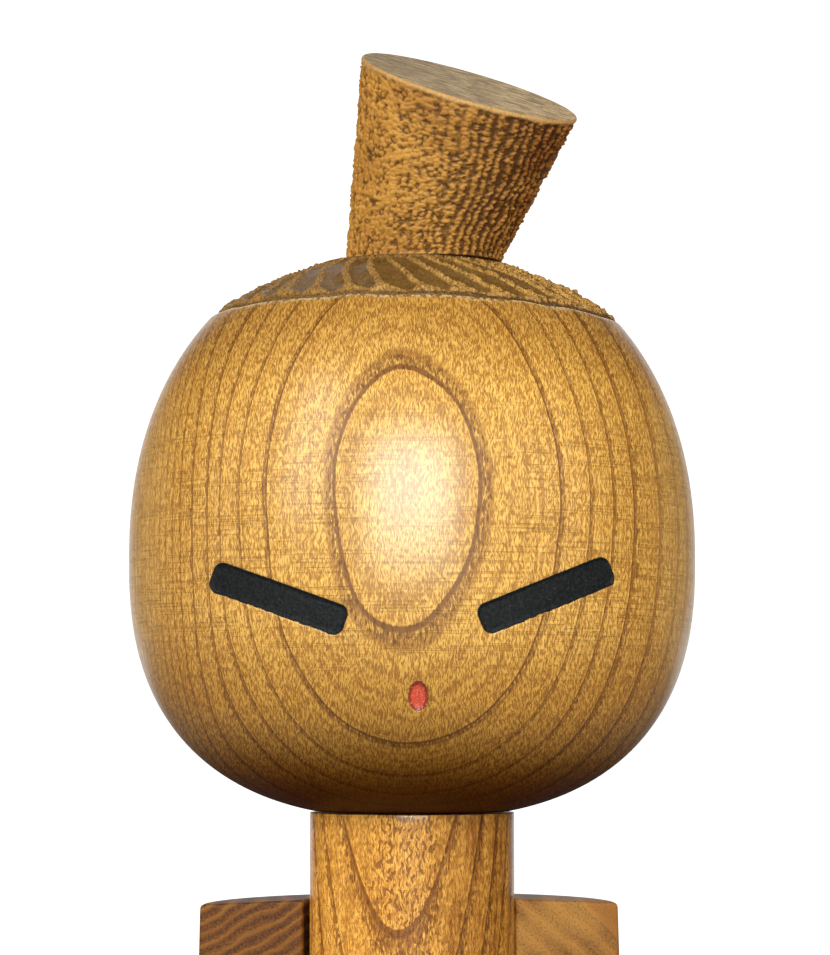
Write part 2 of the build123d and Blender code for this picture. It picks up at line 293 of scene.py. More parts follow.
def close_grid(name, points, attributes, materials, second_from=None):
    """Closed mesh of a grid whose columns join round and whose two end rows meet poles.

    points is (rows, columns, 3) in millimetres. A quad joins each four neighbours, and
    a fan of triangles joins each end row to its mean point. Rows from second_from on
    take the second material.
    """
    rows, columns = points.shape[:2]
    poles = np.stack([points[0].mean(axis=0), points[-1].mean(axis=0)])
    vertices = np.concatenate([points.reshape(-1, 3), poles]) * MM
    index = np.arange(rows * columns).reshape(rows, columns)
    right = np.roll(index, -1, axis=1)
    quads = np.stack([index[:-1], right[:-1], right[1:], index[1:]], axis=-1).reshape(-1, 4)
    first = np.stack([right[0], index[0], np.full(columns, rows * columns)], axis=-1)
    last = np.stack([index[-1], right[-1], np.full(columns, rows * columns + 1)], axis=-1)
    loops = np.concatenate([quads.ravel(), first.ravel(), last.ravel()])
    sizes = np.concatenate([np.full(len(quads), 4), np.full(2 * columns, 3)])
    starts = np.concatenate([[0], np.cumsum(sizes)[:-1]])
    mesh = bpy.data.meshes.new(name)
    mesh.vertices.add(len(vertices))
    mesh.vertices.foreach_set("co", vertices.ravel())
    mesh.loops.add(len(loops))
    mesh.loops.foreach_set("vertex_index", loops)
    mesh.polygons.add(len(sizes))
    mesh.polygons.foreach_set("loop_start", starts)
    mesh.polygons.foreach_set("use_smooth", np.ones(len(sizes), bool))
    for material in materials:
        mesh.materials.append(material)
    if second_from is not None:
        rows_of_faces = np.repeat(np.arange(rows - 1), columns)
        ends = np.repeat([0, rows], columns)
        chosen = np.concatenate([rows_of_faces, ends]) >= second_from
        mesh.polygons.foreach_set("material_index", chosen.astype(np.int32))
    mesh.update(calc_edges=True)
    mesh.validate()
    for label, values in attributes.items():
        ends = [values[0].mean(), values[-1].mean()]
        layer = mesh.attributes.new(label, "FLOAT", "POINT")
        layer.data.foreach_set("value", np.concatenate([values.ravel(), ends]))
    piece = bpy.data.objects.new(name, mesh)
    bpy.context.scene.collection.objects.link(piece)
    return piece


def settle(piece, body, slot, *nodes):
    """Makes a piece ride on a body and stand for the frame's solids, which it hides; slot is not
    used.
    """
    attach(piece, body)
    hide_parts(*nodes)


def turned_grid(profile, columns):
    """Grid of a profile of (radius, height) rows carried round the Z axis."""
    turn = np.linspace(0, 2 * np.pi, columns, endpoint=False)
    radius, height = profile[:, :1], profile[:, 1:]
    level = np.broadcast_to(height, (len(profile), columns))
    return np.stack([radius * np.sin(turn), -radius * np.cos(turn), level], axis=-1)


def refined(profile, step):
    """Profile with points added so that none is further than step from the next."""
    lengths = np.hypot(*np.diff(profile, axis=0).T)
    travelled = np.concatenate([[0.0], np.cumsum(lengths)])
    extra = [np.linspace(a, b, int(np.ceil((b - a) / step)), endpoint=False)
             for a, b in zip(travelled[:-1], travelled[1:]) if b > a]
    wanted = np.concatenate(extra + [travelled[-1:]])
    return np.stack([np.interp(wanted, travelled, profile[:, i]) for i in (0, 1)], axis=1)


def rounded_corner(corner, before, after, radius, steps=5):
    """Points of an arc-like blend that replaces a corner between two directions."""
    t = np.linspace(0, 1, steps)[:, None]
    start = np.array(corner) + np.array(before) * radius
    end = np.array(corner) + np.array(after) * radius
    return (1 - t) ** 2 * start + 2 * t * (1 - t) * np.array(corner) + t**2 * end


# ---- Head ---------------------------------------------------------------------


def face_radius(rise):
    """Radius of the face: a superellipse with its own height and power each way."""
    height = np.where(rise > 0, UPPER_HEIGHT, LOWER_HEIGHT)
    power = np.where(rise > 0, UPPER_POWER, LOWER_POWER)
    share = np.clip(np.abs(rise) / height, 0, 1)
    return HEAD_RADIUS * (1 - share**power) ** (1 / power)


def dome_rise(radius):
    """Rise of the hair's sphere over the widest level, at a radius."""
    return DOME_CROWN - DOME_RADIUS + np.sqrt(DOME_RADIUS**2 - radius**2)


def dome_radius(rise):
    """Radius of the hair's sphere at a rise over the widest level."""
    return np.sqrt(DOME_RADIUS**2 - (rise - DOME_CROWN + DOME_RADIUS) ** 2)


def eye_distance(across, up, ends):
    """Distance outside an eye's round-cornered bar, negative inside, in the front view."""
    (x0, z0), (x1, z1) = ends
    run = np.hypot(x1 - x0, z1 - z0)
    along = ((across - x0) * (x1 - x0) + (up - z0) * (z1 - z0)) / run - run / 2
    aside = ((up - z0) * (x1 - x0) - (across - x0) * (z1 - z0)) / run
    over_x = np.abs(along) - run / 2 + EYE_CORNER
    over_y = np.abs(aside) - EYE_WIDTH / 2 + EYE_CORNER
    outside = np.hypot(np.maximum(over_x, 0), np.maximum(over_y, 0))
    return outside + np.minimum(np.maximum(over_x, over_y), 0) - EYE_CORNER


def mouth_distance(across, up):
    """Distance outside the mouth's oval, negative inside, near enough for a small oval."""
    across_share = (across - MOUTH_CENTRE[0]) / MOUTH_HALF[0]
    up_share = (up - MOUTH_CENTRE[1]) / MOUTH_HALF[1]
    return (np.hypot(across_share, up_share) - 1) * MOUTH_HALF[0]


def face_rows():
    """Rises of the face's rows, closer together by the eyes, mouth, chin and hairline."""
    turn = np.linspace(0, np.pi / 2, 3000)
    rise = np.concatenate([-FACE_DROP * np.cos(turn) ** 0.5, HAIRLINE_RISE * np.sin(turn[1:])])
    rise = np.unique(rise)
    steps = np.hypot(np.diff(rise), np.diff(face_radius(rise)))
    travelled = np.concatenate([[0], np.cumsum(steps)])
    weight = np.ones_like(rise)
    for low, high, added in FINE_ROWS:
        weight += added * ((rise > low) & (rise < high))
    return np.interp(spread(travelled, weight, 132), travelled, rise)


def head_columns(count):
    """Azimuths of the head's columns, closer together by the eyes and the mouth."""
    turn = np.linspace(-np.pi, np.pi, 7201)
    weight = 1 + 3.0 * ((np.abs(turn) > np.radians(11)) & (np.abs(turn) < np.radians(43.5)))
    weight += 3.0 * (np.abs(turn - np.radians(1.2)) < np.radians(2.6))
    return spread(turn, weight, count, closed=True)


def head_grid(sizes):
    """Rows from the socket's roof down, out under the chin, up the face and over the hair.

    The face is the superellipse, pressed in under the eyes and the mouth. The hair is
    a sphere cut by flutes: each flute is a wide shallow scoop with a narrow crest, and
    turns with the radius. Returns the points, the attributes and the first hair row.
    """
    count = 15 * sizes.flutes
    share = np.arange(count) / count
    even = (share - 0.5) * 2 * np.pi
    packed = head_columns(count)
    hairline = HAIRLINE_RISE + 1.1 - sizes.hairline_tilt * np.sin(even)
    hairline = hairline - sizes.hairline_arch * np.sin(even) ** 2
    hairline = hairline + 0.35 * (ring_noise(share, 46, 3) - 0.5)

    socket = np.array([[4.7, 22.7], [4.7, 22.7], [6.1, 17.5], [6.6, 12.4], [6.2, 7.5], [5.9, 4.4]])
    socket = np.concatenate([socket, [[5.9, 0.2], [6.2, 0.0], [10.0, 0.0], [14.9, 0.0]]])
    socket_radius = np.broadcast_to(socket[:, :1], (len(socket), count))
    socket_level = np.broadcast_to(socket[:, 1:] + HEAD_BASE, (len(socket), count))
    socket_turn = np.broadcast_to(packed, (len(socket), count))

    rise = face_rows()[:, None]
    lift = smooth(8.0, HAIRLINE_RISE, rise) * (hairline - HAIRLINE_RISE - 0.1)
    face_rise = rise + lift
    to_even = smooth(6.0, HAIRLINE_RISE - 2, rise)
    face_turn = packed * (1 - to_even) + even * to_even
    radius = face_radius(face_rise)
    across = radius * np.sin(face_turn)
    ahead = np.cos(face_turn) > 0
    for ends in EYES.values():
        inside = -eye_distance(across, face_rise, ends)
        radius = radius - ahead * (sizes.eye_hollow + 0.3) * smooth(0.0, 0.32, inside)
    radius = radius - ahead * 0.9 * smooth(0.0, 0.3, -mouth_distance(across, face_rise))

    edge = face_radius(hairline)
    ledge = 0.25 + 0.7 * ring_noise(share, 150, 5) * ring_noise(share, 30, 6)
    ledge_radius = np.stack([edge - 0.05, edge - 0.12, edge - ledge, edge - ledge - 0.35])
    ledge_rise = np.stack([hairline - 0.04, hairline, hairline - 0.02, hairline - 0.15])
    groove_radius = np.stack([edge - ledge - 0.45, edge - ledge - 0.2])
    ragged = 0.35 + 0.5 * ring_noise(share, 210, 8) * ring_noise(share, 60, 9)
    groove_rise = np.stack([hairline + 0.1, hairline + 0.6 * ragged])

    start = dome_radius(hairline + ragged)
    v = np.linspace(0, 1, 46)[:, None]
    hair_radius = start * (1 - v) + CROWN_FLAT_RADIUS * v
    hair_turn = even - sizes.flute_sweep * (start - hair_radius) / (start - CROWN_FLAT_RADIUS)
    phase = (share * sizes.flutes + FLUTE_OFFSET) % 1.0
    hair_u, hair_v = np.broadcast_arrays(share, v)
    crest_noise = lattice_noise(hair_u, hair_v, 70, 9, 11) - 0.5
    phase = (phase + 0.14 * crest_noise) % 1.0
    scoop = np.sin(np.pi * phase) ** 0.5
    from_edge = start - hair_radius
    reach = 0.7 + 2.2 * (2 * np.abs(phase - 0.5)) ** 2
    uneven = 0.7 + 0.6 * lattice_noise(hair_u, hair_v, sizes.flutes, 3, 12)
    depth = sizes.flute_depth * scoop * uneven * smooth(reach - 0.6, reach + 0.9, from_edge)
    crumbs = crumb_noise(hair_u, hair_v, 300, 34, 13)
    rough = 0.1 + 1.1 * (1 - smooth(0.35, 0.8, scoop)) + 0.6 * (1 - smooth(0.8, 2.4, from_edge))
    coarse = 0.22 + 0.2 * smooth(-0.6, 0.4, np.sin(hair_turn))
    grain = coarse * rough * (smooth(0.0, 0.5, crumbs) - 0.6)
    swell = 0.7 * smooth(0.1, 0.8, from_edge) * (1 - smooth(5.0, 13.0, from_edge))
    sink = depth - grain - swell * (0.7 + 0.6 * crest_noise)
    hair_rise = dome_rise(hair_radius)
    hair_radius = hair_radius * (1 - sink / DOME_RADIUS)
    hair_rise = hair_rise - sink * np.sqrt(1 - (hair_radius / DOME_RADIUS) ** 2)

    flat = np.linspace(CROWN_FLAT_RADIUS - 0.6, 0.5, 6)[:, None] + 0 * share
    flat_turn = even - sizes.flute_sweep + 0 * flat
    flat_rise = 0 * flat + CROWN_LEVEL - HEAD_MID

    edge_turn = np.broadcast_to(even, (len(ledge_rise) + len(groove_rise), count))
    radius = np.concatenate([socket_radius, radius, ledge_radius, groove_radius, hair_radius, flat])
    turn = np.concatenate([socket_turn, face_turn, edge_turn, hair_turn, flat_turn])
    level = np.concatenate([
        socket_level, face_rise + HEAD_MID, ledge_rise + HEAD_MID,
        groove_rise + HEAD_MID, hair_rise + HEAD_MID, flat_rise + HEAD_MID,
    ])
    points = np.stack([radius * np.sin(turn), -radius * np.cos(turn), level], axis=-1)
    face = slice(len(socket), len(socket) + len(rise))
    hair_row = face.stop + len(ledge_rise) - 1
    flutes = slice(face.stop + len(edge_turn), face.stop + len(edge_turn) + len(v))
    crest, crumb, ledge_mask = np.zeros((3, *radius.shape))
    # Where crumb stays 0, in the grooves between crumbs and in the lowest rows over the hairline,
    # the hair material paints shade.
    crest[hair_row:] = 0.6
    crest[flutes] = np.clip(rough / 1.2, 0, 1)
    crumb[flutes] = np.clip(crumbs, 0, 1) * smooth(0.15, 0.6, from_edge)
    ledge_mask[face.stop:hair_row] = 1
    torn_lip = 0.5 * ring_noise(share, 90, 14)
    ledge_mask[face] = smooth(hairline - 0.35 - torn_lip, hairline - 0.15, face_rise)
    return points, {"crest": crest, "crumb": crumb, "ledge": ledge_mask}, hair_row


# ---- Paint ----------------------------------------------------------------------


RING_SHARES = np.array([
    1, 0.993, 0.985, 0.977, 0.968, 0.958, 0.945, 0.925, 0.9, 0.87, 0.84, 0.81, 0.78,
    0.72, 0.65, 0.55, 0.45, 0.35, 0.25, 0.15, 0.06,
])


def paint_grid(outline, centre, distance, hollow, ripple, seed):
    """Film of paint that lines a hollow: closed rings of its outline, shrunk to its centre.

    The top starts just over the face at the rim and sinks smoothly to the hollow's
    depth; the back runs a little deeper. outline is (columns, 2) across and up.
    """
    share = RING_SHARES[:, None, None]
    flat = centre + (outline - centre) * share
    inside = np.clip(-distance(flat[..., 0], flat[..., 1]), 0, None)
    u = np.broadcast_to(np.arange(len(outline)) / len(outline), inside.shape)
    v = np.broadcast_to(RING_SHARES[:, None], inside.shape)
    wave = lattice_noise(u, v, 90, 14, seed) - 0.5
    top = 0.035 - hollow * smooth(0.0, 0.55, inside) + ripple * wave * smooth(0.1, 0.4, inside)
    back = np.minimum(-0.12, -0.12 - (hollow + 0.05) * smooth(0.0, 0.3, inside))
    rows = []
    for offset, order in ((top, slice(None, None, -1)), (back, slice(None))):
        across, up = flat[order, :, 0], flat[order, :, 1]
        radius = face_radius(up)
        turn = np.arcsin(across / radius)
        radius = radius + offset[order]
        place = [radius * np.sin(turn), -radius * np.cos(turn), up + HEAD_MID]
        rows.append(np.stack(place, axis=-1))
    depth = np.concatenate([inside[::-1], inside])
    return np.concatenate(rows), {"inside": depth}


def eye_outline(ends, seed):
    """Outline of an eye: a round-cornered bar with a slightly ragged lower edge."""
    count = 240
    (x0, z0), (x1, z1) = ends
    run = np.hypot(x1 - x0, z1 - z0)
    forward = np.array([(x1 - x0) / run, (z1 - z0) / run])
    aside = np.array([-forward[1], forward[0]])
    aside = aside * np.sign(aside[1])
    half, wide, corner = run / 2, EYE_WIDTH / 2, EYE_CORNER
    straight_x, straight_y = half - corner, wide - corner
    corners = []
    for sign_x, sign_y, start in ((1, -1, -90), (1, 1, 0), (-1, 1, 90), (-1, -1, 180)):
        turn = np.radians(start + np.linspace(0, 90, 12))
        x = sign_x * straight_x + corner * np.cos(turn)
        y = sign_y * straight_y + corner * np.sin(turn)
        corners.append(np.stack([x, y], axis=-1))
    loop = np.concatenate(corners + [corners[0][:1]])
    lengths = np.concatenate([[0], np.cumsum(np.hypot(*np.diff(loop, axis=0).T))])
    wanted = np.linspace(0, lengths[-1], count, endpoint=False)
    bar = np.stack([np.interp(wanted, lengths, loop[:, i]) for i in (0, 1)], axis=1)
    u = np.arange(count) / count
    ragged = (ring_noise(u, 60, seed) - 0.5) * smooth(0.4, -0.4, bar[:, 1])
    bar[:, 1] += 0.22 * ragged
    centre = np.array([(x0 + x1) / 2, (z0 + z1) / 2])
    outline = centre + bar[:, :1] * forward + bar[:, 1:] * aside
    if forward[0] < 0:
        outline = outline[::-1]
    return outline, centre


def mouth_outline():
    """Outline of the mouth: an oval, narrower above, like a drop."""
    turn = np.linspace(0, 2 * np.pi, 96, endpoint=False)
    narrow = 1 - 0.12 * np.sin(turn)
    across = MOUTH_CENTRE[0] + MOUTH_HALF[0] * narrow * np.cos(turn)
    up = MOUTH_CENTRE[1] + MOUTH_HALF[1] * np.sin(turn)
    return np.stack([across, up], axis=-1), np.array(MOUTH_CENTRE)


# ---- Topknot --------------------------------------------------------------------


def topknot_grid(sizes):
    """Leaning cone, torn round its flank: rings from its foot up, over the rim and in.

    The foot's row is where each straight line of the cone meets the crown's level.
    The flank is pushed in by crumbs and by upright furrows that are stronger on the
    doll's left; both fade out just under the rim.
    """
    columns, rows = 500, 172
    aside = np.cross(KNOT_AXIS, [0.0, 0.0, 1.0])
    aside /= np.linalg.norm(aside)
    ahead = np.cross(aside, KNOT_AXIS)
    u = np.arange(columns) / columns
    turn = u * 2 * np.pi
    outward = np.cos(turn)[:, None] * ahead + np.sin(turn)[:, None] * aside
    foot_radius = KNOT_TOP_RADIUS - KNOT_LENGTH * KNOT_FLARE
    climb = CROWN_LEVEL - KNOT_PIVOT[2] - outward[:, 2] * foot_radius
    foot = climb / (KNOT_AXIS[2] + outward[:, 2] * KNOT_FLARE)

    rounding = 0.45
    v = np.linspace(0, 1, rows)[:, None]
    height = foot + (KNOT_LENGTH - rounding - foot) * v
    radius = foot_radius + height * KNOT_FLARE
    u_grid, v_grid = u + 0 * v, v + 0 * u
    drift = lattice_noise(u_grid, v_grid, 30, 7, 23) - 0.5
    shiver = lattice_noise(u_grid, v_grid, 60, 60, 26) - 0.5
    row = 56 * u_grid + 1.2 * drift + 0.35 * shiver
    furrow = np.abs(np.sin(np.pi * row)) ** 2.2
    chatter = lattice_noise(u_grid, v_grid + 0.01 * drift, 120, 44, 21)
    fine = lattice_noise(u_grid, v_grid, 220, 96, 22)
    lumps = smooth(0.0, 0.45, crumb_noise(u_grid, v_grid, 90, 34, 27))
    side = smooth(-0.95, 0.25, -np.sin(turn + FURROW_SIDE))
    relief = 0.42 * smooth(0.2, 0.8, chatter) + 0.28 * fine + 0.30 * lumps
    relief = relief * (1 - (0.24 + 0.66 * side) * furrow)
    slab = lattice_noise(u_grid, v_grid, 22, 9, 25) - 0.5
    fade = smooth(0.0, 0.02, v) * (1 - smooth(0.972, 0.995, v + 0.014 * drift))
    radius = radius - (sizes.tear_depth * (0.75 - relief) - 0.3 * slab) * fade

    bend = np.linspace(0, np.pi / 2, 7)[1:, None]
    rim_height = KNOT_LENGTH - rounding * (1 - np.sin(bend)) + 0 * turn
    rim_radius = KNOT_TOP_RADIUS - rounding * (1 - np.cos(bend)) - 0.1 + 0 * turn
    flat = np.linspace(KNOT_TOP_RADIUS - rounding - 0.5, 0.4, 30)[:, None] + 0 * turn
    dish = 0.12 * (lattice_noise(u + 0 * flat, flat / KNOT_TOP_RADIUS, 9, 4, 24) - 0.5)
    sole = np.array([[0.5], [0.985]])
    flat_height = KNOT_LENGTH + dish * smooth(0, 3, KNOT_TOP_RADIUS - 1.3 - flat)
    height = np.concatenate([height, rim_height, flat_height])
    radius = np.concatenate([radius, rim_radius, flat])
    points = KNOT_PIVOT + height[..., None] * KNOT_AXIS + radius[..., None] * outward
    centre = points[0].mean(axis=0)
    under = centre + (points[0] - centre) * sole[..., None]
    points = np.concatenate([under, points])
    torn = np.zeros(points.shape[:2])
    torn[:2 + rows] = 1
    torn[2:2 + rows] = np.where(v < 0.5, 1, fade)
    # The relief also sets the flank's colour: low relief, in the pits, is darkened partly as
    # painted shade.
    light = np.ones(points.shape[:2])
    light[2:2 + rows] = relief
    light[:2] = relief[0]
    top = np.zeros(points.shape[:2])
    top[2 + rows + 4:] = 1
    return points, {"torn": torn, "relief": light, "top": top}


# ---- Body -----------------------------------------------------------------------


def column_profile():
    """Column's outline from the tenon's end, out, up, in over the top and down the hole."""
    tenon, hole = 9.0, 6.55
    low, shoulder, top = COLUMN_LOW[2], ROBE_HIGH[2], COLUMN_HIGH[2] + 0.13
    outline = np.concatenate([
        [[0.5, low], [tenon - 1, low], [tenon, low + 1], [tenon, shoulder]],
        [[COLUMN_RADIUS - 0.2, shoulder], [COLUMN_RADIUS, shoulder + 0.2]],
        rounded_corner((COLUMN_RADIUS, top), (0, -1), (-1, 0), 0.15),
        [[hole, top], [hole, top - 22.5], [0.5, top - 22.5]],
    ])
    return refined(outline, 1.2)


def robe_profile():
    """Robe's outline: flat foot, upright hem, flank curving in, top and tenon hole."""
    hem, waist = ROBE_HIGH[0], 28.5
    band, top = 3.0, ROBE_HIGH[2]
    middle = (hem + waist) / 2 - 2.6
    t = np.linspace(0, 1, 60)[:, None]
    start, end = np.array([hem, band]), np.array([waist, top])
    control = 2 * np.array([middle, (band + top) / 2]) - (start + end) / 2
    flank = (1 - t) ** 2 * start + 2 * t * (1 - t) * control + t**2 * end
    outline = np.concatenate([
        [[0.5, 0.0], [hem - 3, 0.0]],
        rounded_corner((hem, 0), (-1, 0), (0, 1), 1.2),
        flank[:-2],
        rounded_corner((waist, top), (0.1, -1), (-1, 0), 1.5),
        [[9.05, top], [9.05, top - 24.5], [0.5, top - 24.5]],
    ])
    return refined(outline, 1.2)


def yoke_grid(sizes):
    """Half ring: a rounded section carried round the column's back, closed at both ends.

    The section is a tall rectangle with a sloping top. At each end it shrinks over a
    quarter turn to round the front edges, and then to its middle to close the face.
    """
    bore = COLUMN_RADIUS + 0.55
    base, top = YOKE_LOW[2], YOKE_HIGH[2]
    rim_top = top - (YOKE_RADIUS - bore) * np.tan(np.radians(2.0))
    section = np.concatenate([
        rounded_corner((bore, base), (0, 1), (1, 0), 0.5),
        rounded_corner((YOKE_RADIUS - 0.3, base), (-1, 0), (0, 1), 0.9),
        [[YOKE_RADIUS, (base + rim_top) / 2]],
        rounded_corner((YOKE_RADIUS - 0.3, rim_top), (0, -1), (-1, 0), 0.9),
        rounded_corner((bore, top), (1, 0), (0, -1), 0.5),
    ])
    section = refined(np.concatenate([section, section[:1]]), 0.7)[:-1]
    middle = np.array([(bore + YOKE_RADIUS) / 2, (base + top) / 2])
    rounding = 0.45
    bend = np.linspace(0, np.pi / 2, 6)
    flat = np.linspace(0.04, 0.96, 14)
    backs = np.concatenate([0 * flat, rounding * (1 - np.cos(bend))])
    insets = np.concatenate([0 * flat + rounding, rounding * (1 - np.sin(bend))])
    end = np.stack([backs, insets, np.concatenate([flat, 0 * bend + 1])], axis=1)
    sweep = np.linspace(np.radians(1.5), np.radians(178.5), 96)
    half_size = np.array([(YOKE_RADIUS - bore) / 2, (top - base) / 2])

    def station(back, inset, share, side):
        """Section at an end, shrunk by an inset and a share, on the side of its sign."""
        shrunk = middle + (section - middle) * (1 - inset / half_size) * share
        return np.stack([side * shrunk[:, 0], np.full(len(section), back), shrunk[:, 1]], axis=-1)

    rows = [station(*values, 1) for values in end]
    for angle in sweep:
        rows.append(np.stack([
            section[:, 0] * np.cos(angle), section[:, 0] * np.sin(angle), section[:, 1]
        ], axis=-1))
    rows += [station(*values, -1) for values in end[::-1]]
    points = np.stack(rows)
    points[..., 1] = np.maximum(points[..., 1], 0.0)
    x, z = points[..., 0].copy(), points[..., 2] - top
    roll = sizes.yoke_roll
    points[..., 0] = YOKE_CENTRE + x * np.cos(roll) - z * np.sin(roll)
    points[..., 2] = top + x * np.sin(roll) + z * np.cos(roll)
    points[..., 2] = np.maximum(points[..., 2], base)
    return points


# ---- Shader wiring --------------------------------------------------------------


class Wiring:
    """Adds nodes to one tree in tidy rows and joins them."""

    def __init__(self, tree):
        self.tree = tree
        self.count = 0

    def add(self, kind, inputs=None, **settings):
        node = self.tree.nodes.new(kind)
        node.location = (200 * (self.count % 14), -320 * (self.count // 14))
        self.count += 1
        for name, value in settings.items():
            setattr(node, name, value)
        for key, value in (inputs or {}).items():
            self.put(node.inputs[key], value)
        return node

    def put(self, socket, value):
        if isinstance(value, bpy.types.NodeSocket):
            self.tree.links.new(value, socket)
        else:
            socket.default_value = value

    def math(self, operation, *values, clamp=False):
        node = self.add("ShaderNodeMath", dict(enumerate(values)), operation=operation)
        node.use_clamp = clamp
        return node.outputs[0]

    def times(self, a, b):
        return self.math("MULTIPLY", a, b)

    def plus(self, a, b):
        return self.math("ADD", a, b)

    def minus(self, a, b):
        return self.math("SUBTRACT", a, b)

    def times_plus(self, a, b, c):
        return self.math("MULTIPLY_ADD", a, b, c)

    def stretch(self, vector, factors):
        return self.add(
            "ShaderNodeVectorMath", {0: vector, 1: factors}, operation="MULTIPLY"
        ).outputs[0]

    def noise(self, vector, scale=1.0, detail=1.0, roughness=0.5):
        inputs = {"Vector": vector, "Scale": scale, "Detail": detail, "Roughness": roughness}
        return self.add("ShaderNodeTexNoise", inputs).outputs[0]

    def remap(self, value, low, high, out_low=0.0, out_high=1.0):
        inputs = {0: value, 1: low, 2: high, 3: out_low, 4: out_high}
        return self.add("ShaderNodeMapRange", inputs, interpolation_type="SMOOTHSTEP").outputs[0]

    def mix(self, factor, a, b, blend="MIX"):
        """Mix of two sockets or linear colours."""
        node = self.add("ShaderNodeMix", data_type="RGBA", blend_type=blend)
        self.put(node.inputs[0], factor)
        for socket, colour in ((node.inputs[6], a), (node.inputs[7], b)):
            is_socket = isinstance(colour, bpy.types.NodeSocket)
            self.put(socket, colour if is_socket else (*colour, 1.0))
        return node.outputs[2]

    def ring_table(self, depth, depths, spacing):
        """Depth bent so that the rings at the given depths come evenly spaced."""
        low, high = depths[0], depths[-1]
        node = self.add("ShaderNodeFloatCurve")
        curve = node.mapping.curves[0]
        for number, ring in enumerate(depths[1:-1], start=1):
            curve.points.new((ring - low) / (high - low), number / (len(depths) - 1))
        curve.points[0].location = (0.0, 0.0)
        curve.points[-1].location = (1.0, 1.0)
        for point in curve.points:
            point.handle_type = "VECTOR"
        node.mapping.update()
        share = self.math("DIVIDE", self.minus(depth, low), high - low)
        self.put(node.inputs["Value"], share)
        return self.times(node.outputs[0], spacing * (len(depths) - 1))

    def parts(self, vector):
        return self.add("ShaderNodeSeparateXYZ", {0: vector}).outputs

    def join(self, x, y, z):
        return self.add("ShaderNodeCombineXYZ", {0: x, 1: y, 2: z}).outputs[0]

    def attribute(self, name):
        return self.add("ShaderNodeAttribute", attribute_name=name).outputs["Fac"]

    def group(self, name, inputs):
        node = self.add("ShaderNodeGroup", node_tree=bpy.data.node_groups[name])
        for key, value in inputs.items():
            self.put(node.inputs[key], value)
        return node.outputs


def new_group(name, inputs, outputs):
    """Empty shader group with named sockets, and its wiring, input and output nodes."""
    tree = bpy.data.node_groups.new(name, "ShaderNodeTree")
    for label, kind, default in inputs:
        socket = tree.interface.new_socket(label, in_out="INPUT", socket_type=kind)
        if default is not None:
            socket.default_value = default
    for label in outputs:
        tree.interface.new_socket(label, in_out="OUTPUT", socket_type="NodeSocketFloat")
    wiring = Wiring(tree)
    return wiring, wiring.add("NodeGroupInput").outputs, wiring.add("NodeGroupOutput").inputs


def make_fine_figure():
    """Rays, pores and fibres of zelkova, in the tree's own axes.

    X lies along the growth ring, Y across it and Z up the trunk, in millimetres. Rays
    are spindles, thin along X, long along Y and about a millimetre tall, and sheen is
    the brighter wood between them, lightened as a painted sheen; pores are thin and
    tall; fibres are tall streaks.
    """
    w, given, out = new_group(
        "fine figure",
        [("Vector", "NodeSocketVector", None), ("Size", "NodeSocketFloat", 1.0)],
        ["Rays", "Sheen", "Pores", "Fibres"],
    )
    vector = w.add("ShaderNodeVectorMath", {0: given["Vector"]}, operation="SCALE")
    w.put(vector.inputs["Scale"], w.math("DIVIDE", 1.0, given["Size"]))
    vector = vector.outputs[0]
    sway = w.noise(w.stretch(vector, (0.9, 0.35, 1.0)), detail=0.0)
    x, y, z = w.parts(vector)
    x = w.times_plus(w.minus(sway, 0.5), 0.55, x)
    swayed = w.join(x, y, z)
    rays = w.noise(w.stretch(swayed, (6.2, 0.6, 1.2)), detail=1.0)
    w.put(out["Rays"], w.remap(rays, 0.45, 0.64))
    w.put(out["Sheen"], w.remap(rays, 0.46, 0.34))
    pores = w.noise(w.stretch(swayed, (4.0, 3.2, 0.9)), detail=0.0)
    w.put(out["Pores"], w.remap(pores, 0.60, 0.68))
    fibres = w.noise(w.stretch(swayed, (3.2, 3.2, 0.12)), detail=2.0)
    w.put(out["Fibres"], w.remap(fibres, 0.3, 0.7))


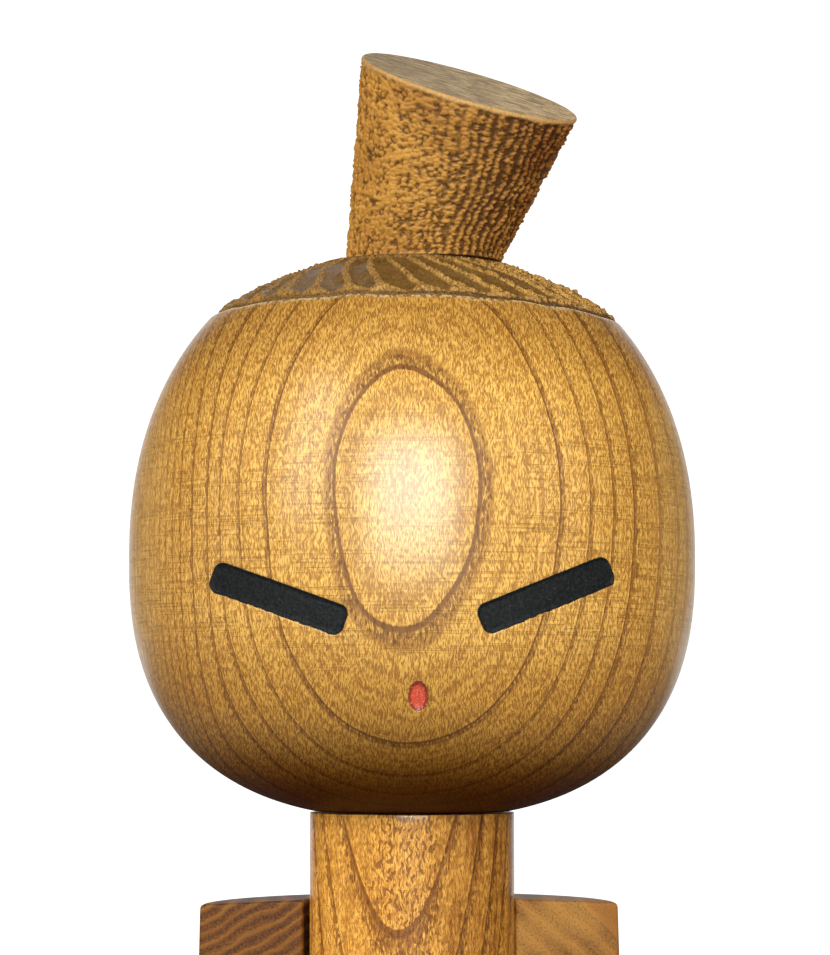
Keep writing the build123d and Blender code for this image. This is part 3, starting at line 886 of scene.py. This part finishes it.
def make_growth_rings():
    """Pore lines of the growth rings, from the depth across the rings.

    The depth over the spacing counts rings, and its fraction is the phase. Each ring
    starts with a sharp line that fades outwards over a ragged width. Zigzag bands of
    smaller pores follow inside the ring. The tone is one random value for each ring.
    """
    w, given, out = new_group(
        "growth rings",
        [
            ("Depth", "NodeSocketFloat", 0.0),
            ("Vector", "NodeSocketVector", None),
            ("Spacing", "NodeSocketFloat", 4.0),
            ("Width", "NodeSocketFloat", 0.5),
            ("Bands", "NodeSocketFloat", 3.0),
        ],
        ["Line", "Zigzag", "Phase", "Tone"],
    )
    vector = given["Vector"]
    comb = w.noise(w.stretch(vector, (3.4, 1.2, 0.9)), detail=1.0)
    drift = w.noise(vector, scale=0.05, detail=1.0)
    depth = w.times_plus(w.minus(drift, 0.5), 0.7, given["Depth"])
    jag = w.times_plus(w.minus(comb, 0.5), 0.06, depth)
    count = w.math("DIVIDE", jag, given["Spacing"])
    phase = w.math("FRACT", count)
    share = w.math("DIVIDE", w.times(phase, given["Spacing"]), given["Width"])
    core = w.times(w.remap(share, 0.2, 0.4, 1.0, 0.0), 0.95)
    reach = w.times_plus(w.minus(comb, 0.5), 5.0, share)
    fade = w.remap(reach, 0.6, 1.1, 1.0, 0.0)
    teeth = w.times(fade, w.remap(comb, 0.4, 0.56, 0.85, 0.5))
    band = w.times(w.remap(share, 0.8, 1.5, 1.0, 0.0), teeth)
    rising = w.remap(phase, 0.992, 1.0)
    w.put(out["Line"], w.math("MAXIMUM", w.math("MAXIMUM", core, band), rising))
    w.put(out["Phase"], phase)
    tone = w.add("ShaderNodeTexWhiteNoise", noise_dimensions="1D")
    w.put(tone.inputs["W"], w.math("FLOOR", count))
    w.put(out["Tone"], tone.outputs["Value"])
    rows = w.times(w.math("DIVIDE", depth, given["Spacing"]), given["Bands"])
    rows = w.math("FRACT", w.times_plus(comb, 0.5, rows))
    rows = w.times(w.remap(rows, 0.5, 0.75), w.remap(rows, 0.85, 1.0, 1.0, 0.0))
    w.put(out["Zigzag"], w.times(rows, w.remap(comb, 0.42, 0.56)))


def make_lathe_marks():
    """Fine level lines left by the chisel: a streak noise of height, broken up round the work."""
    w, given, out = new_group(
        "lathe marks", [("Vector", "NodeSocketVector", None)], ["Marks"]
    )
    fine = w.noise(w.stretch(given["Vector"], (0.06, 0.06, 3.6)), detail=1.0, roughness=0.6)
    patch = w.noise(w.stretch(given["Vector"], (0.12, 0.12, 0.5)), detail=1.0)
    lines = w.times(w.remap(fine, 0.55, 0.62), w.remap(patch, 0.34, 0.56))
    w.put(out["Marks"], lines)


def new_material(name):
    """Material with a Principled BSDF and an object-space position in millimetres."""
    material = bpy.data.materials.new(name)
    material.use_nodes = True
    material.node_tree.nodes.clear()
    w = Wiring(material.node_tree)
    shader = w.add("ShaderNodeBsdfPrincipled")
    output = w.add("ShaderNodeOutputMaterial")
    w.put(output.inputs["Surface"], shader.outputs[0])
    place = w.add("ShaderNodeTexCoord").outputs["Object"]
    position = w.stretch(place, (1 / MM,) * 3)
    return material, w, shader, position


def lacquer(shader, roughness=0.5, coat=0.75, coat_roughness=0.2):
    """Satin clear lacquer over the wood, set on the shader's own sockets."""
    shader.inputs["Roughness"].default_value = roughness
    shader.inputs["Coat Weight"].default_value = coat
    shader.inputs["Coat Roughness"].default_value = coat_roughness
    shader.inputs["IOR"].default_value = 1.45
    shader.inputs["Specular IOR Level"].default_value = 0.3


def bumped(w, shader, height, distance, strength=1.0):
    """Bump of a height over the surface, on the shader's normal."""
    bump = w.add("ShaderNodeBump", {"Height": height, "Strength": strength})
    bump.inputs["Distance"].default_value = distance * MM
    w.put(shader.inputs["Normal"], bump.outputs[0])


def side_grain(
    w, colours, vector, depth, spacing, width, size=1.0, bands=3.0, contrast=1.0, turned=1.0
):
    """Colour and height of lacquered side grain, from the fine figure and the rings.

    Also returns the lathe marks and the fine figure's outputs.
    """
    fine = w.group("fine figure", {"Vector": vector, "Size": size})
    rings = w.group("growth rings", {
        "Depth": depth, "Vector": vector, "Spacing": spacing, "Width": width, "Bands": bands,
    })
    cloud = w.noise(vector, scale=0.045, detail=2.0)
    late = w.times(rings["Phase"], 0.35)
    warm = w.plus(late, w.remap(cloud, 0.3, 0.7, 0.0, 0.45))
    shade = w.mix(warm, colours.gold, colours.honey)
    shade = w.mix(w.times(fine["Fibres"], 0.2), shade, colours.honey)
    shade = w.mix(w.times(fine["Rays"], 0.85 * contrast), shade, colours.ray_brown)
    # Brighter wood between the rays, partly a painted sheen.
    shade = w.mix(w.times(fine["Sheen"], 0.45 * contrast), shade, SHEEN_GOLD)
    zigzag = w.times(rings["Zigzag"], 0.65 * contrast)
    shade = w.mix(zigzag, shade, colours.ray_brown)
    line = w.times(rings["Line"], w.remap(rings["Tone"], 0.0, 1.0, 0.85, 1.0))
    shade = w.mix(line, shade, colours.ring_brown)
    likely = w.times_plus(rings["Line"], 0.4, 0.12)
    pores = w.math("MULTIPLY", fine["Pores"], likely, clamp=True)
    shade = w.mix(pores, shade, colours.pore_brown)
    marks = w.times(w.group("lathe marks", {"Vector": vector})["Marks"], turned)
    shade = w.mix(w.times(marks, 0.4), shade, colours.ray_brown)
    height = w.times(fine["Rays"], -0.6)
    height = w.times_plus(pores, -1.0, height)
    height = w.times_plus(marks, -0.8, height)
    return shade, height, marks, fine


def head_material(colours, sizes):
    """Zelkova of the face: rings nearly flat behind the face, bowed up the trunk."""
    material, w, shader, place = new_material("zelkova_face")
    x, y, z = w.parts(place)
    up = w.minus(z, RING_CENTRE)
    depth = w.plus(y, HEAD_RADIUS)
    bow = w.times_plus(up, RING_BOW[0], RING_BOW[1])
    for factor in RING_BOW[2:]:
        bow = w.times_plus(bow, up, factor)
    depth = w.minus(depth, bow)
    depth = w.times_plus(x, RING_SLANT, depth)
    to_right = w.math("MINIMUM", x, 0.0)
    depth = w.times_plus(w.times(to_right, to_right), RING_CURL, depth)
    crowd = w.minus(w.times(x, -1.0), CROWD_FROM)
    crowd = w.math("MAXIMUM", crowd, 0.0)
    crowd = w.times(w.times(crowd, crowd), CROWD_GAIN)
    depth = w.ring_table(w.plus(depth, crowd), RING_DEPTHS, sizes.ring_spacing)
    off_middle = w.math("ABSOLUTE", w.minus(z, HEAD_MID + 2.0))
    flank = w.math("ABSOLUTE", x)
    width = w.remap(flank, 14.0, 34.0, 0.42, 0.85)
    turned = w.remap(off_middle, 12.0, 24.0, 1.0, 0.15)
    shade, height, marks, fine = side_grain(
        w, colours, place, depth, sizes.ring_spacing, width, bands=5.0, turned=turned
    )
    # Paler towards the silhouette on both sides: a painted reflection of the backdrop.
    shade = w.mix(w.remap(flank, 34.0, 44.0, 0.0, 0.4), shade, FLANK_PAINTED_REFLECTION)
    streaks = w.times(fine["Fibres"], w.remap(flank, 20.0, 38.0, 0.0, 0.5))
    shade = w.mix(streaks, shade, colours.ray_brown)
    # Painted shade over the lower face.
    low = w.remap(z, HEAD_MID - 8.0, HEAD_MID - 24.0)
    shade = w.mix(low, shade, CHEEK_PAINTED_SHADE, "MULTIPLY")
    # Strong painted shade under the chin, standing in part for its darker end grain.
    under = w.remap(z, HEAD_MID - 22.0, HEAD_MID - 39.0)
    shade = w.mix(under, shade, CHIN_PAINTED_SHADE, "MULTIPLY")
    # Painted shade over the upper brow.
    over = w.remap(z, HEAD_MID + 20.0, HEAD_MID + 37.0, 0.0, 0.8)
    shade = w.mix(over, shade, BROW_PAINTED_SHADE, "MULTIPLY")
    chipped = w.noise(w.stretch(place, (1.7, 1.7, 0.9)), detail=1.0)
    lip = w.mix(w.remap(chipped, 0.42, 0.54), LIP_DARK, LIP_PALE)
    shade = w.mix(w.attribute("ledge"), shade, lip)
    w.put(shader.inputs["Base Color"], shade)
    lacquer(shader, coat=0.9, coat_roughness=0.28)
    shader.inputs["Coat IOR"].default_value = 1.6
    w.put(shader.inputs["Coat Weight"], w.remap(under, 0.0, 0.8, 0.9, 0.05))
    w.put(shader.inputs["Specular IOR Level"], w.remap(under, 0.0, 0.8, 0.3, 0.05))
    w.put(shader.inputs["Roughness"], w.times_plus(marks, 0.15, 0.48))
    bumped(w, shader, height, 0.09)
    return material


def hair_material(colours):
    """Carved hair: dark smooth flutes with crumbled pale crests, crests painted lighter towards the
    doll's left, and painted shade in the pits and along the hairline.
    """
    material, w, shader, place = new_material("carved_hair")
    crest = w.attribute("crest")
    crumb = w.attribute("crumb")
    fine = w.group("fine figure", {"Vector": place, "Size": 0.8})
    grit = w.noise(place, scale=2.8, detail=3.0, roughness=0.65)
    broad = w.noise(place, scale=0.3, detail=2.0)
    shade = w.mix(w.remap(broad, 0.3, 0.7), colours.hair_valley, VALLEY_PALE)
    shade = w.mix(w.times(fine["Rays"], 0.35), shade, colours.ring_brown)
    # Painted light: the crests get brighter towards the doll's left.
    lit = w.remap(w.parts(place)[0], -22.0, 22.0, 0.5, 1.0)
    golden = w.times(w.remap(crest, 0.22, 0.6), lit)
    pale = w.times(golden, w.remap(grit, 0.34, 0.52))
    shade = w.mix(pale, shade, colours.hair_crest)
    # Painted shade: the grooves between crumbs and the crumb-free rows over the hairline lip darken
    # towards pore brown.
    between = w.remap(crumb, 0.02, 0.2, 1.0, 0.0)
    pit_shade = w.times(between, w.remap(golden, 0.0, 1.0, 0.1, 0.85))
    shade = w.mix(pit_shade, shade, colours.pore_brown)
    shade = w.mix(w.times(fine["Pores"], 0.4), shade, colours.pore_brown)
    w.put(shader.inputs["Base Color"], shade)
    lacquer(shader, 0.5, 0.2, 0.3)
    rough = w.remap(golden, 0.0, 1.0, 0.3, 1.0)
    bumped(w, shader, w.times_plus(grit, rough, fine["Rays"]), 0.12)
    return material


def topknot_material(colours):
    """Torn flank with dark pits, partly painted shade, a flank painted darker towards the doll's
    left, and a smooth end-grain top.
    """
    material, w, shader, place = new_material("torn_topknot")
    relief, torn, top = w.attribute("relief"), w.attribute("torn"), w.attribute("top")
    grit = w.noise(w.stretch(place, (2.6, 2.6, 1.8)), detail=3.0, roughness=0.6)
    broad = w.noise(place, scale=0.12, detail=2.0)
    # Light on raised fibres and dark in the torn pits, the dark partly painted shade.
    light = w.times_plus(w.minus(grit, 0.5), 0.5, relief)
    shade = w.mix(w.remap(light, 0.06, 0.54), colours.torn_dark, colours.torn_light)
    x = w.parts(place)[0]
    # Painted shade: the flank darkens towards the doll's left, over a random patchy tone.
    patchy = w.remap(broad, 0.35, 0.7, 0.0, 0.3)
    shaded = w.plus(patchy, w.remap(x, -4.0, 22.0, 0.0, 0.5))
    shade = w.mix(shaded, shade, colours.end_grain, "MULTIPLY")
    band = w.mix(w.remap(grit, 0.3, 0.7), RIM_DARK, RIM_PALE)
    shade = w.mix(torn, band, shade)
    streak = w.noise(w.stretch(place, (0.22, 1.0, 1.0)), detail=3.0, roughness=0.55)
    speck = w.noise(w.stretch(place, (1.4, 3.2, 3.2)), detail=1.0)
    end = w.mix(w.remap(streak, 0.36, 0.64), SAWN_DARK, SAWN_PALE)
    end = w.mix(w.remap(speck, 0.55, 0.68, 0.0, 0.7), end, SAWN_PORE)
    end = w.mix(w.remap(x, -8.0, 22.0, 0.4, 0.0), end, SAWN_SHADE)
    shade = w.mix(top, shade, end)
    w.put(shader.inputs["Base Color"], shade)
    lacquer(shader, 0.55, 0.06, 0.3)
    bumped(w, shader, grit, 0.2)
    return material


def column_material(colours):
    """Column: one bold nested arch of rings on the front, coarse pores, bright streaks, painted
    light towards the doll's right and painted shade towards its left.
    """
    material, w, shader, place = new_material("zelkova_column")
    x, y, z = w.parts(place)
    depth = w.plus(y, COLUMN_RADIUS - 0.3)
    depth = w.times_plus(w.minus(z, 84.7), -0.156, depth)
    depth = w.times_plus(w.plus(x, 3.2), 0.1455, depth)
    shade, height, _, fine = side_grain(
        w, colours, place, depth, 3.2, 0.8, size=1.1, bands=4.0, contrast=0.75, turned=0.4
    )
    sway = w.noise(w.stretch(place, (0.5, 0.5, 0.6)), detail=1.0)
    shifted = w.join(w.times_plus(sway, 1.6, x), y, z)
    streak = w.noise(w.stretch(shifted, (0.75, 0.75, 0.05)), detail=2.0, roughness=0.55)
    outside = w.remap(w.math("ABSOLUTE", w.plus(x, 1.0)), 3.5, 8.0)
    dark = w.times(w.remap(streak, 0.52, 0.66), outside)
    # Dark streaks thin out towards the doll's right: painted light on that side.
    dark = w.times(dark, w.remap(x, -10.0, -2.0, 0.25, 0.7))
    shade = w.mix(dark, shade, COLUMN_STREAK, "MULTIPLY")
    bright = w.times(w.remap(streak, 0.46, 0.34), outside)
    flash = w.times(bright, w.remap(fine["Rays"], 0.0, 0.5, 1.0, 0.0))
    shade = w.mix(w.times(flash, 0.8), shade, SHEEN_GOLD)
    hooks = w.noise(w.stretch(shifted, (2.6, 1.6, 1.0)), detail=0.0)
    inside = w.minus(1.0, outside)
    likely = w.times_plus(inside, 0.7, 0.1)
    hook = w.times(w.remap(hooks, 0.57, 0.64), likely)
    shade = w.mix(hook, shade, colours.ring_brown)
    shade = w.mix(1.0, shade, COLUMN_TONE, "MULTIPLY")
    # Painted shade: darker towards the doll's left.
    shade = w.mix(w.remap(x, -4.0, 12.0), shade, COLUMN_PAINTED_SHADE, "MULTIPLY")
    w.put(shader.inputs["Base Color"], shade)
    lacquer(shader)
    bumped(w, shader, w.minus(height, hook), 0.12)
    return material


def robe_material(colours):
    """Robe: rings off the pith, which runs up beside the column."""
    material, w, shader, place = new_material("zelkova_robe")
    x, y, z = w.parts(place)
    away = w.times_plus(z, 0.12, w.plus(y, 30.0))
    sideways = w.math("POWER", w.plus(x, 9.0), 2.0)
    inwards = w.math("POWER", w.plus(away, 30.0), 2.0)
    depth = w.math("SQRT", w.plus(sideways, inwards))
    shade, height, _, _ = side_grain(w, colours, place, depth, 3.8, 0.5, size=1.1)
    w.put(shader.inputs["Base Color"], shade)
    lacquer(shader)
    bumped(w, shader, height, 0.06)
    return material


def yoke_material(colours):
    """Yoke: the trunk runs front to back, so rings cross its flat ends as slanting bands.

    On the doll's right the rings rise towards the column; on its left they fall away
    from it, wider apart, round a swirl beside the column. The two run into each other
    behind the column.
    """
    material, w, shader, place = new_material("end_grain_yoke")
    x, y, z = w.parts(place)
    cloud = w.noise(w.stretch(place, (0.12, 0.05, 0.12)), detail=2.0)
    grit = w.noise(w.stretch(place, (2.2, 0.5, 2.2)), detail=2.0, roughness=0.6)

    def by_side(right=0.0, left=1.0):
        """Value that runs from one at the doll's right to another at its left."""
        return w.remap(x, -SIDE_BLEND, SIDE_BLEND, right, left)

    left_side = by_side()
    slope = by_side(-0.58, 0.90)
    spacing = by_side(2.1, 4.6)
    across = w.plus(w.minus(z, YOKE_LOW[2]), w.times(x, slope))
    across = w.times_plus(cloud, 3.5, across)
    across = w.times_plus(grit, 0.5, across)
    phase = w.math("FRACT", w.math("DIVIDE", across, spacing))
    band = w.times(w.remap(phase, 0.0, 0.25), w.remap(phase, 0.35, 0.8, 1.0, 0.0))
    along = w.join(w.times(across, 1.1), 0.0, w.times(x, 0.05))
    rings = w.noise(along, detail=1.0)
    dark = w.times(band, w.remap(rings, 0.3, 0.6, 0.25, 0.85))
    shade = w.mix(dark, colours.end_grain, colours.end_band)
    off_swirl = w.times(w.minus(x, 18.0), 0.5)
    below = w.times_plus(cloud, 9.0, w.minus(84.0, z))
    lobe = w.plus(off_swirl, below)
    swirl = w.times(w.remap(lobe, 1.0, 5.0), w.remap(lobe, 7.0, 12.0, 1.0, 0.0))
    swirl = w.times(swirl, w.times(left_side, 0.55))
    shade = w.mix(swirl, shade, SWIRL_PALE)
    speck = w.noise(w.stretch(place, (3.4, 1.0, 3.4)), detail=1.0)
    shade = w.mix(w.remap(speck, 0.52, 0.66, 0.0, 0.65), shade, colours.pore_brown)
    shade = w.mix(w.remap(grit, 0.55, 0.40, 0.0, 0.35), shade, YOKE_FLECK)
    pale = w.times(w.remap(phase, 0.5, 0.85), w.remap(rings, 0.35, 0.6, 0.35, 1.0))
    pale = w.times(pale, w.remap(phase, 0.93, 1.0, 1.0, 0.0))
    shade = w.mix(w.times(pale, by_side(0.5, 0.28)), shade, YOKE_PALE)
    shade = w.mix(w.times(left_side, 0.12), shade, YOKE_LEFT_TONE)
    corner_line = YOKE_HIGH[0] + 0.9 * YOKE_HIGH[2] - 5.6
    outward = w.times_plus(z, 0.9, w.times_plus(cloud, 2.0, x))
    corner = w.remap(outward, corner_line, corner_line + 1.6)
    shade = w.mix(w.times(corner, 0.7), shade, YOKE_CORNER)
    shade = w.mix(1.0, shade, YOKE_TONE, "MULTIPLY")
    shade = w.mix(by_side(0.9, 0.15), shade, YOKE_RIGHT_SHADE, "MULTIPLY")
    w.put(shader.inputs["Base Color"], shade)
    lacquer(shader, 0.6, 0.04, 0.3)
    bumped(w, shader, w.minus(grit, speck), 0.08)
    return material


def eye_material(colours):
    """Matt black brushed paint with fine wood specks showing through."""
    material, w, shader, place = new_material("black_eye_paint")
    grain = w.noise(w.stretch(place, (3.0, 1.0, 2.0)), detail=3.0, roughness=0.6)
    shade = w.mix(w.remap(grain, 0.35, 0.7), colours.ink, INK_WORN)
    speck = w.noise(place, scale=3.4, detail=1.0)
    shade = w.mix(w.remap(speck, 0.70, 0.76, 0.0, 0.5), shade, INK_SPECK)
    w.put(shader.inputs["Base Color"], shade)
    shader.inputs["Roughness"].default_value = 0.55
    shader.inputs["Specular IOR Level"].default_value = 0.2
    bumped(w, shader, grain, 0.12)
    return material


def mouth_material(colours):
    """Vermilion drop, darker where the paint thins out at its rim, with light specks painted as
    glints.
    """
    material, w, shader, place = new_material("red_mouth_paint")
    inside = w.attribute("inside")
    grain = w.noise(place, scale=2.0, detail=2.0)
    middle = w.times_plus(w.minus(grain, 0.5), 0.5, inside)
    shade = w.mix(w.remap(middle, 0.15, 0.6), colours.vermilion_edge, colours.vermilion)
    # Light red specks: painted glints.
    glint_specks = w.noise(place, scale=3.2, detail=1.0)
    shade = w.mix(w.remap(glint_specks, 0.55, 0.68, 0.0, 0.6), shade, RED_PAINTED_GLINT)
    w.put(shader.inputs["Base Color"], shade)
    shader.inputs["Roughness"].default_value = 0.45
    bumped(w, shader, grain, 0.08)
    return material


def dowel_material():
    """Bare straight-grained hardwood of the hidden pegs and dowels."""
    material, w, shader, place = new_material("bare_dowel")
    streak = w.noise(w.stretch(place, (2.0, 2.0, 0.2)), detail=2.0)
    shade = w.mix(w.remap(streak, 0.3, 0.7), DOWEL_DARK, DOWEL_PALE)
    w.put(shader.inputs["Base Color"], shade)
    shader.inputs["Roughness"].default_value = 0.6
    bumped(w, shader, streak, 0.05)
    return material


# ---- Operators ------------------------------------------------------------------


class BuildOperator(bpy.types.Operator):
    """Base of the doll's operators."""

    bl_options = {"REGISTER", "UNDO"}


class KOKESHI_OT_shader_groups(BuildOperator):
    """Make the shared shader groups"""

    bl_idname = "kokeshi.shader_groups"
    bl_label = "Shader groups"

    def execute(self, context):
        make_fine_figure()
        make_growth_rings()
        make_lathe_marks()
        return {"FINISHED"}


class KOKESHI_OT_head(BuildOperator):
    """Build the head with its carved hair"""

    bl_idname = "kokeshi.head"
    bl_label = "Head and hair"

    def execute(self, context):
        sizes, colours = context.scene.doll_sizes, context.scene.doll_colours
        points, attributes, hair_row = head_grid(sizes)
        materials = [head_material(colours, sizes), hair_material(colours)]
        piece = close_grid("turned_head", points, attributes, materials, hair_row)
        settle(piece, "head", "turned_zelkova", "head")
        return {"FINISHED"}


class KOKESHI_OT_paint(BuildOperator):
    """Paint the eyes and the mouth"""

    bl_idname = "kokeshi.paint"
    bl_label = "Eyes and mouth"

    def execute(self, context):
        sizes, colours = context.scene.doll_sizes, context.scene.doll_colours
        black, red = eye_material(colours), mouth_material(colours)
        for seed, (node, ends) in enumerate(EYES.items()):
            outline, centre = eye_outline(ends, 31 + seed)
            points, attributes = paint_grid(
                outline, centre, lambda x, z: eye_distance(x, z, ends), sizes.eye_hollow, 0.05, seed
            )
            piece = close_grid(node.replace("_paint", ""), points, attributes, [black])
            settle(piece, "head", "black_paint", node)
        outline, centre = mouth_outline()
        points, attributes = paint_grid(outline, centre, mouth_distance, 0.5, 0.08, 41)
        piece = close_grid("mouth", points, attributes, [red])
        settle(piece, "head", "red_paint", "mouth_paint")
        return {"FINISHED"}


class KOKESHI_OT_topknot(BuildOperator):
    """Build the torn topknot"""

    bl_idname = "kokeshi.topknot"
    bl_label = "Topknot"

    def execute(self, context):
        sizes, colours = context.scene.doll_sizes, context.scene.doll_colours
        points, attributes = topknot_grid(sizes)
        piece = close_grid("leaning_topknot", points, attributes, [topknot_material(colours)])
        settle(piece, "head", "rough_zelkova", "topknot")
        return {"FINISHED"}


class KOKESHI_OT_body(BuildOperator):
    """Build the column, the yoke and the robe"""

    bl_idname = "kokeshi.body"
    bl_label = "Body"

    def execute(self, context):
        sizes, colours = context.scene.doll_sizes, context.scene.doll_colours
        column = close_grid(
            "neck_column", turned_grid(column_profile(), 192), {}, [column_material(colours)]
        )
        settle(column, "stand", "turned_zelkova", "body_column")
        robe = close_grid(
            "flared_robe", turned_grid(robe_profile(), 256), {}, [robe_material(colours)]
        )
        settle(robe, "stand", "turned_zelkova", "robe")
        yoke = close_grid("half_ring_yoke", yoke_grid(sizes), {}, [yoke_material(colours)])
        settle(yoke, "stand", "end_grain_zelkova", "shoulder_yoke")
        return {"FINISHED"}


class KOKESHI_OT_dowels(BuildOperator):
    """Give the hidden peg and dowels their bare wood"""

    bl_idname = "kokeshi.dowels"
    bl_label = "Peg and dowels"

    def execute(self, context):
        bare = dowel_material()
        for node in ("neck_peg", "yoke_dowels", "topknot_dowel"):
            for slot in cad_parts[node].material_slots:
                slot.material = bare
        return {"FINISHED"}


def soft_light(name, place, target, size, power, tint=WHITE):
    """Square or oblong area light at a place, turned to face a target, in metres."""
    data = bpy.data.lights.new(name, "AREA")
    data.shape = "RECTANGLE"
    data.size, data.size_y = size
    data.energy = power
    data.color = tint
    light = bpy.data.objects.new(name, data)
    bpy.context.scene.collection.objects.link(light)
    light.location = place
    light.rotation_euler = (Vector(target) - Vector(place)).to_track_quat("-Z", "Y").to_euler()
    return light


class KOKESHI_OT_stage(BuildOperator):
    """Set up the paper sweep, the lights and the camera"""

    bl_idname = "kokeshi.stage"
    bl_label = "Stage"

    def execute(self, context):
        scene, settings = context.scene, context.scene.doll_stage
        t = np.linspace(0, np.pi / 2, 24)
        back, bend, high = 2.2, 0.9, 3.2
        curve = back - bend + bend * np.sin(t[1:])
        depth = np.concatenate([[-3.0, 0.0, back - bend], curve, [back]])
        height = np.concatenate([[0.0, 0.0, 0.0], bend - bend * np.cos(t[1:]), [high]])
        wide = np.array([-3.2, 3.2])
        points = np.stack([
            wide + 0 * depth[:, None], depth[:, None] + 0 * wide, height[:, None] + 0 * wide
        ], axis=-1)
        mesh = bpy.data.meshes.new("paper_sweep")
        index = np.arange(points[..., 0].size).reshape(points.shape[:2])
        faces = np.stack([index[:-1, 0], index[:-1, 1], index[1:, 1], index[1:, 0]], axis=-1)
        mesh.from_pydata(points.reshape(-1, 3).tolist(), [], faces.tolist())
        mesh.polygons.foreach_set("use_smooth", np.ones(len(faces), bool))
        sweep = bpy.data.objects.new("paper_sweep", mesh)
        scene.collection.objects.link(sweep)
        material, w, shader, place = new_material("studio_paper")
        fibre = w.noise(place, scale=0.5, detail=2.0)
        shade = w.mix(w.times(fibre, 0.04), settings.paper, PAPER_FIBRE)
        seen = w.add("ShaderNodeLightPath").outputs["Is Camera Ray"]
        shade = w.mix(seen, PAPER_BOUNCE, shade)
        w.put(shader.inputs["Base Color"], shade)
        shader.inputs["Roughness"].default_value = 0.9
        x, y, z = w.parts(place)
        away = w.math("SQRT", w.plus(w.times(x, x), w.times(y, y)))
        central = w.remap(w.math("ABSOLUTE", x), 1220.0, 560.0)
        behind = w.times(w.remap(y, 500.0, 1500.0), central)
        far = w.mix(seen, behind, w.remap(away, 150.0, 800.0))
        w.put(shader.inputs["Emission Color"], far)
        shader.inputs["Emission Strength"].default_value = settings.glow
        mesh.materials.append(material)

        world = bpy.data.worlds.new("even_fill")
        world.use_nodes = True
        sky = Wiring(world.node_tree)
        seen = sky.add("ShaderNodeLightPath").outputs["Is Camera Ray"]
        strength = sky.times_plus(seen, settings.glow - settings.sky, settings.sky)
        backdrop = world.node_tree.nodes["Background"]
        backdrop.inputs["Color"].default_value = (*WHITE, 1.0)
        sky.put(backdrop.inputs["Strength"], strength)
        scene.world = world
        middle = (0.0, 0.0, 0.15)
        key, side, power = settings.key_power, settings.side_power, settings.fill_power
        soft_light("front_window", (0.0, -0.87, 0.385), middle, (0.52, 0.44), key, KEY_TINT)
        soft_light("side_window", (-0.56, -0.58, 0.56), middle, (0.26, 0.66), side)
        for name, place, size in (
            ("right_fill", (0.72, -0.48, 0.4), (0.5, 0.5)),
            ("left_fill", (-0.88, -0.1, 0.35), (0.5, 0.6)),
        ):
            fill = soft_light(name, place, middle, size, power, FILL_TINT)
            fill.visible_glossy = False

        data = bpy.data.cameras.new("camera")
        data.lens = CAMERA_LENS
        data.sensor_width = 36.0
        camera = bpy.data.objects.new("camera", data)
        camera.location = CAMERA_PLACE
        camera.rotation_euler = np.radians(CAMERA_TURN)
        scene.collection.objects.link(camera)
        scene.camera = camera
        scene.view_settings.view_transform = "Standard"
        return {"FINISHED"}


class KOKESHI_PT_panel(bpy.types.Panel):
    """Sizes, colours and building steps of the doll"""

    bl_idname = "KOKESHI_PT_panel"
    bl_label = "Kokeshi"
    bl_space_type = "VIEW_3D"
    bl_region_type = "UI"
    bl_category = "Kokeshi"

    def draw(self, context):
        layout = self.layout
        for settings in PROPERTY_GROUPS:
            group = getattr(context.scene, settings)
            column = layout.column(align=True)
            for name in group.bl_rna.properties.keys():
                if name not in ("rna_type", "name"):
                    column.prop(group, name)
        for operator in STEPS:
            layout.operator(operator.bl_idname)


STEPS = (
    KOKESHI_OT_stage,
    KOKESHI_OT_shader_groups,
    KOKESHI_OT_head,
    KOKESHI_OT_paint,
    KOKESHI_OT_topknot,
    KOKESHI_OT_body,
    KOKESHI_OT_dowels,
)
PROPERTY_GROUPS = {
    "doll_sizes": DollSizes,
    "doll_colours": DollColours,
    "doll_stage": StageSettings,
}


def register():
    """Register the classes and hang the property groups on the scene."""
    for group in (*PROPERTY_GROUPS.values(), *STEPS, KOKESHI_PT_panel):
        bpy.utils.register_class(group)
    for name, group in PROPERTY_GROUPS.items():
        setattr(bpy.types.Scene, name, PointerProperty(type=group))


def unregister():
    """Undo register."""
    for name in PROPERTY_GROUPS:
        delattr(bpy.types.Scene, name)
    for group in (KOKESHI_PT_panel, *reversed(STEPS), *PROPERTY_GROUPS.values()):
        bpy.utils.unregister_class(group)


def main():
    """Build everything in order."""
    register()
    for step in STEPS:
        family, name = step.bl_idname.split(".")
        getattr(getattr(bpy.ops, family), name)()


if __name__ == "__main__":
    main()
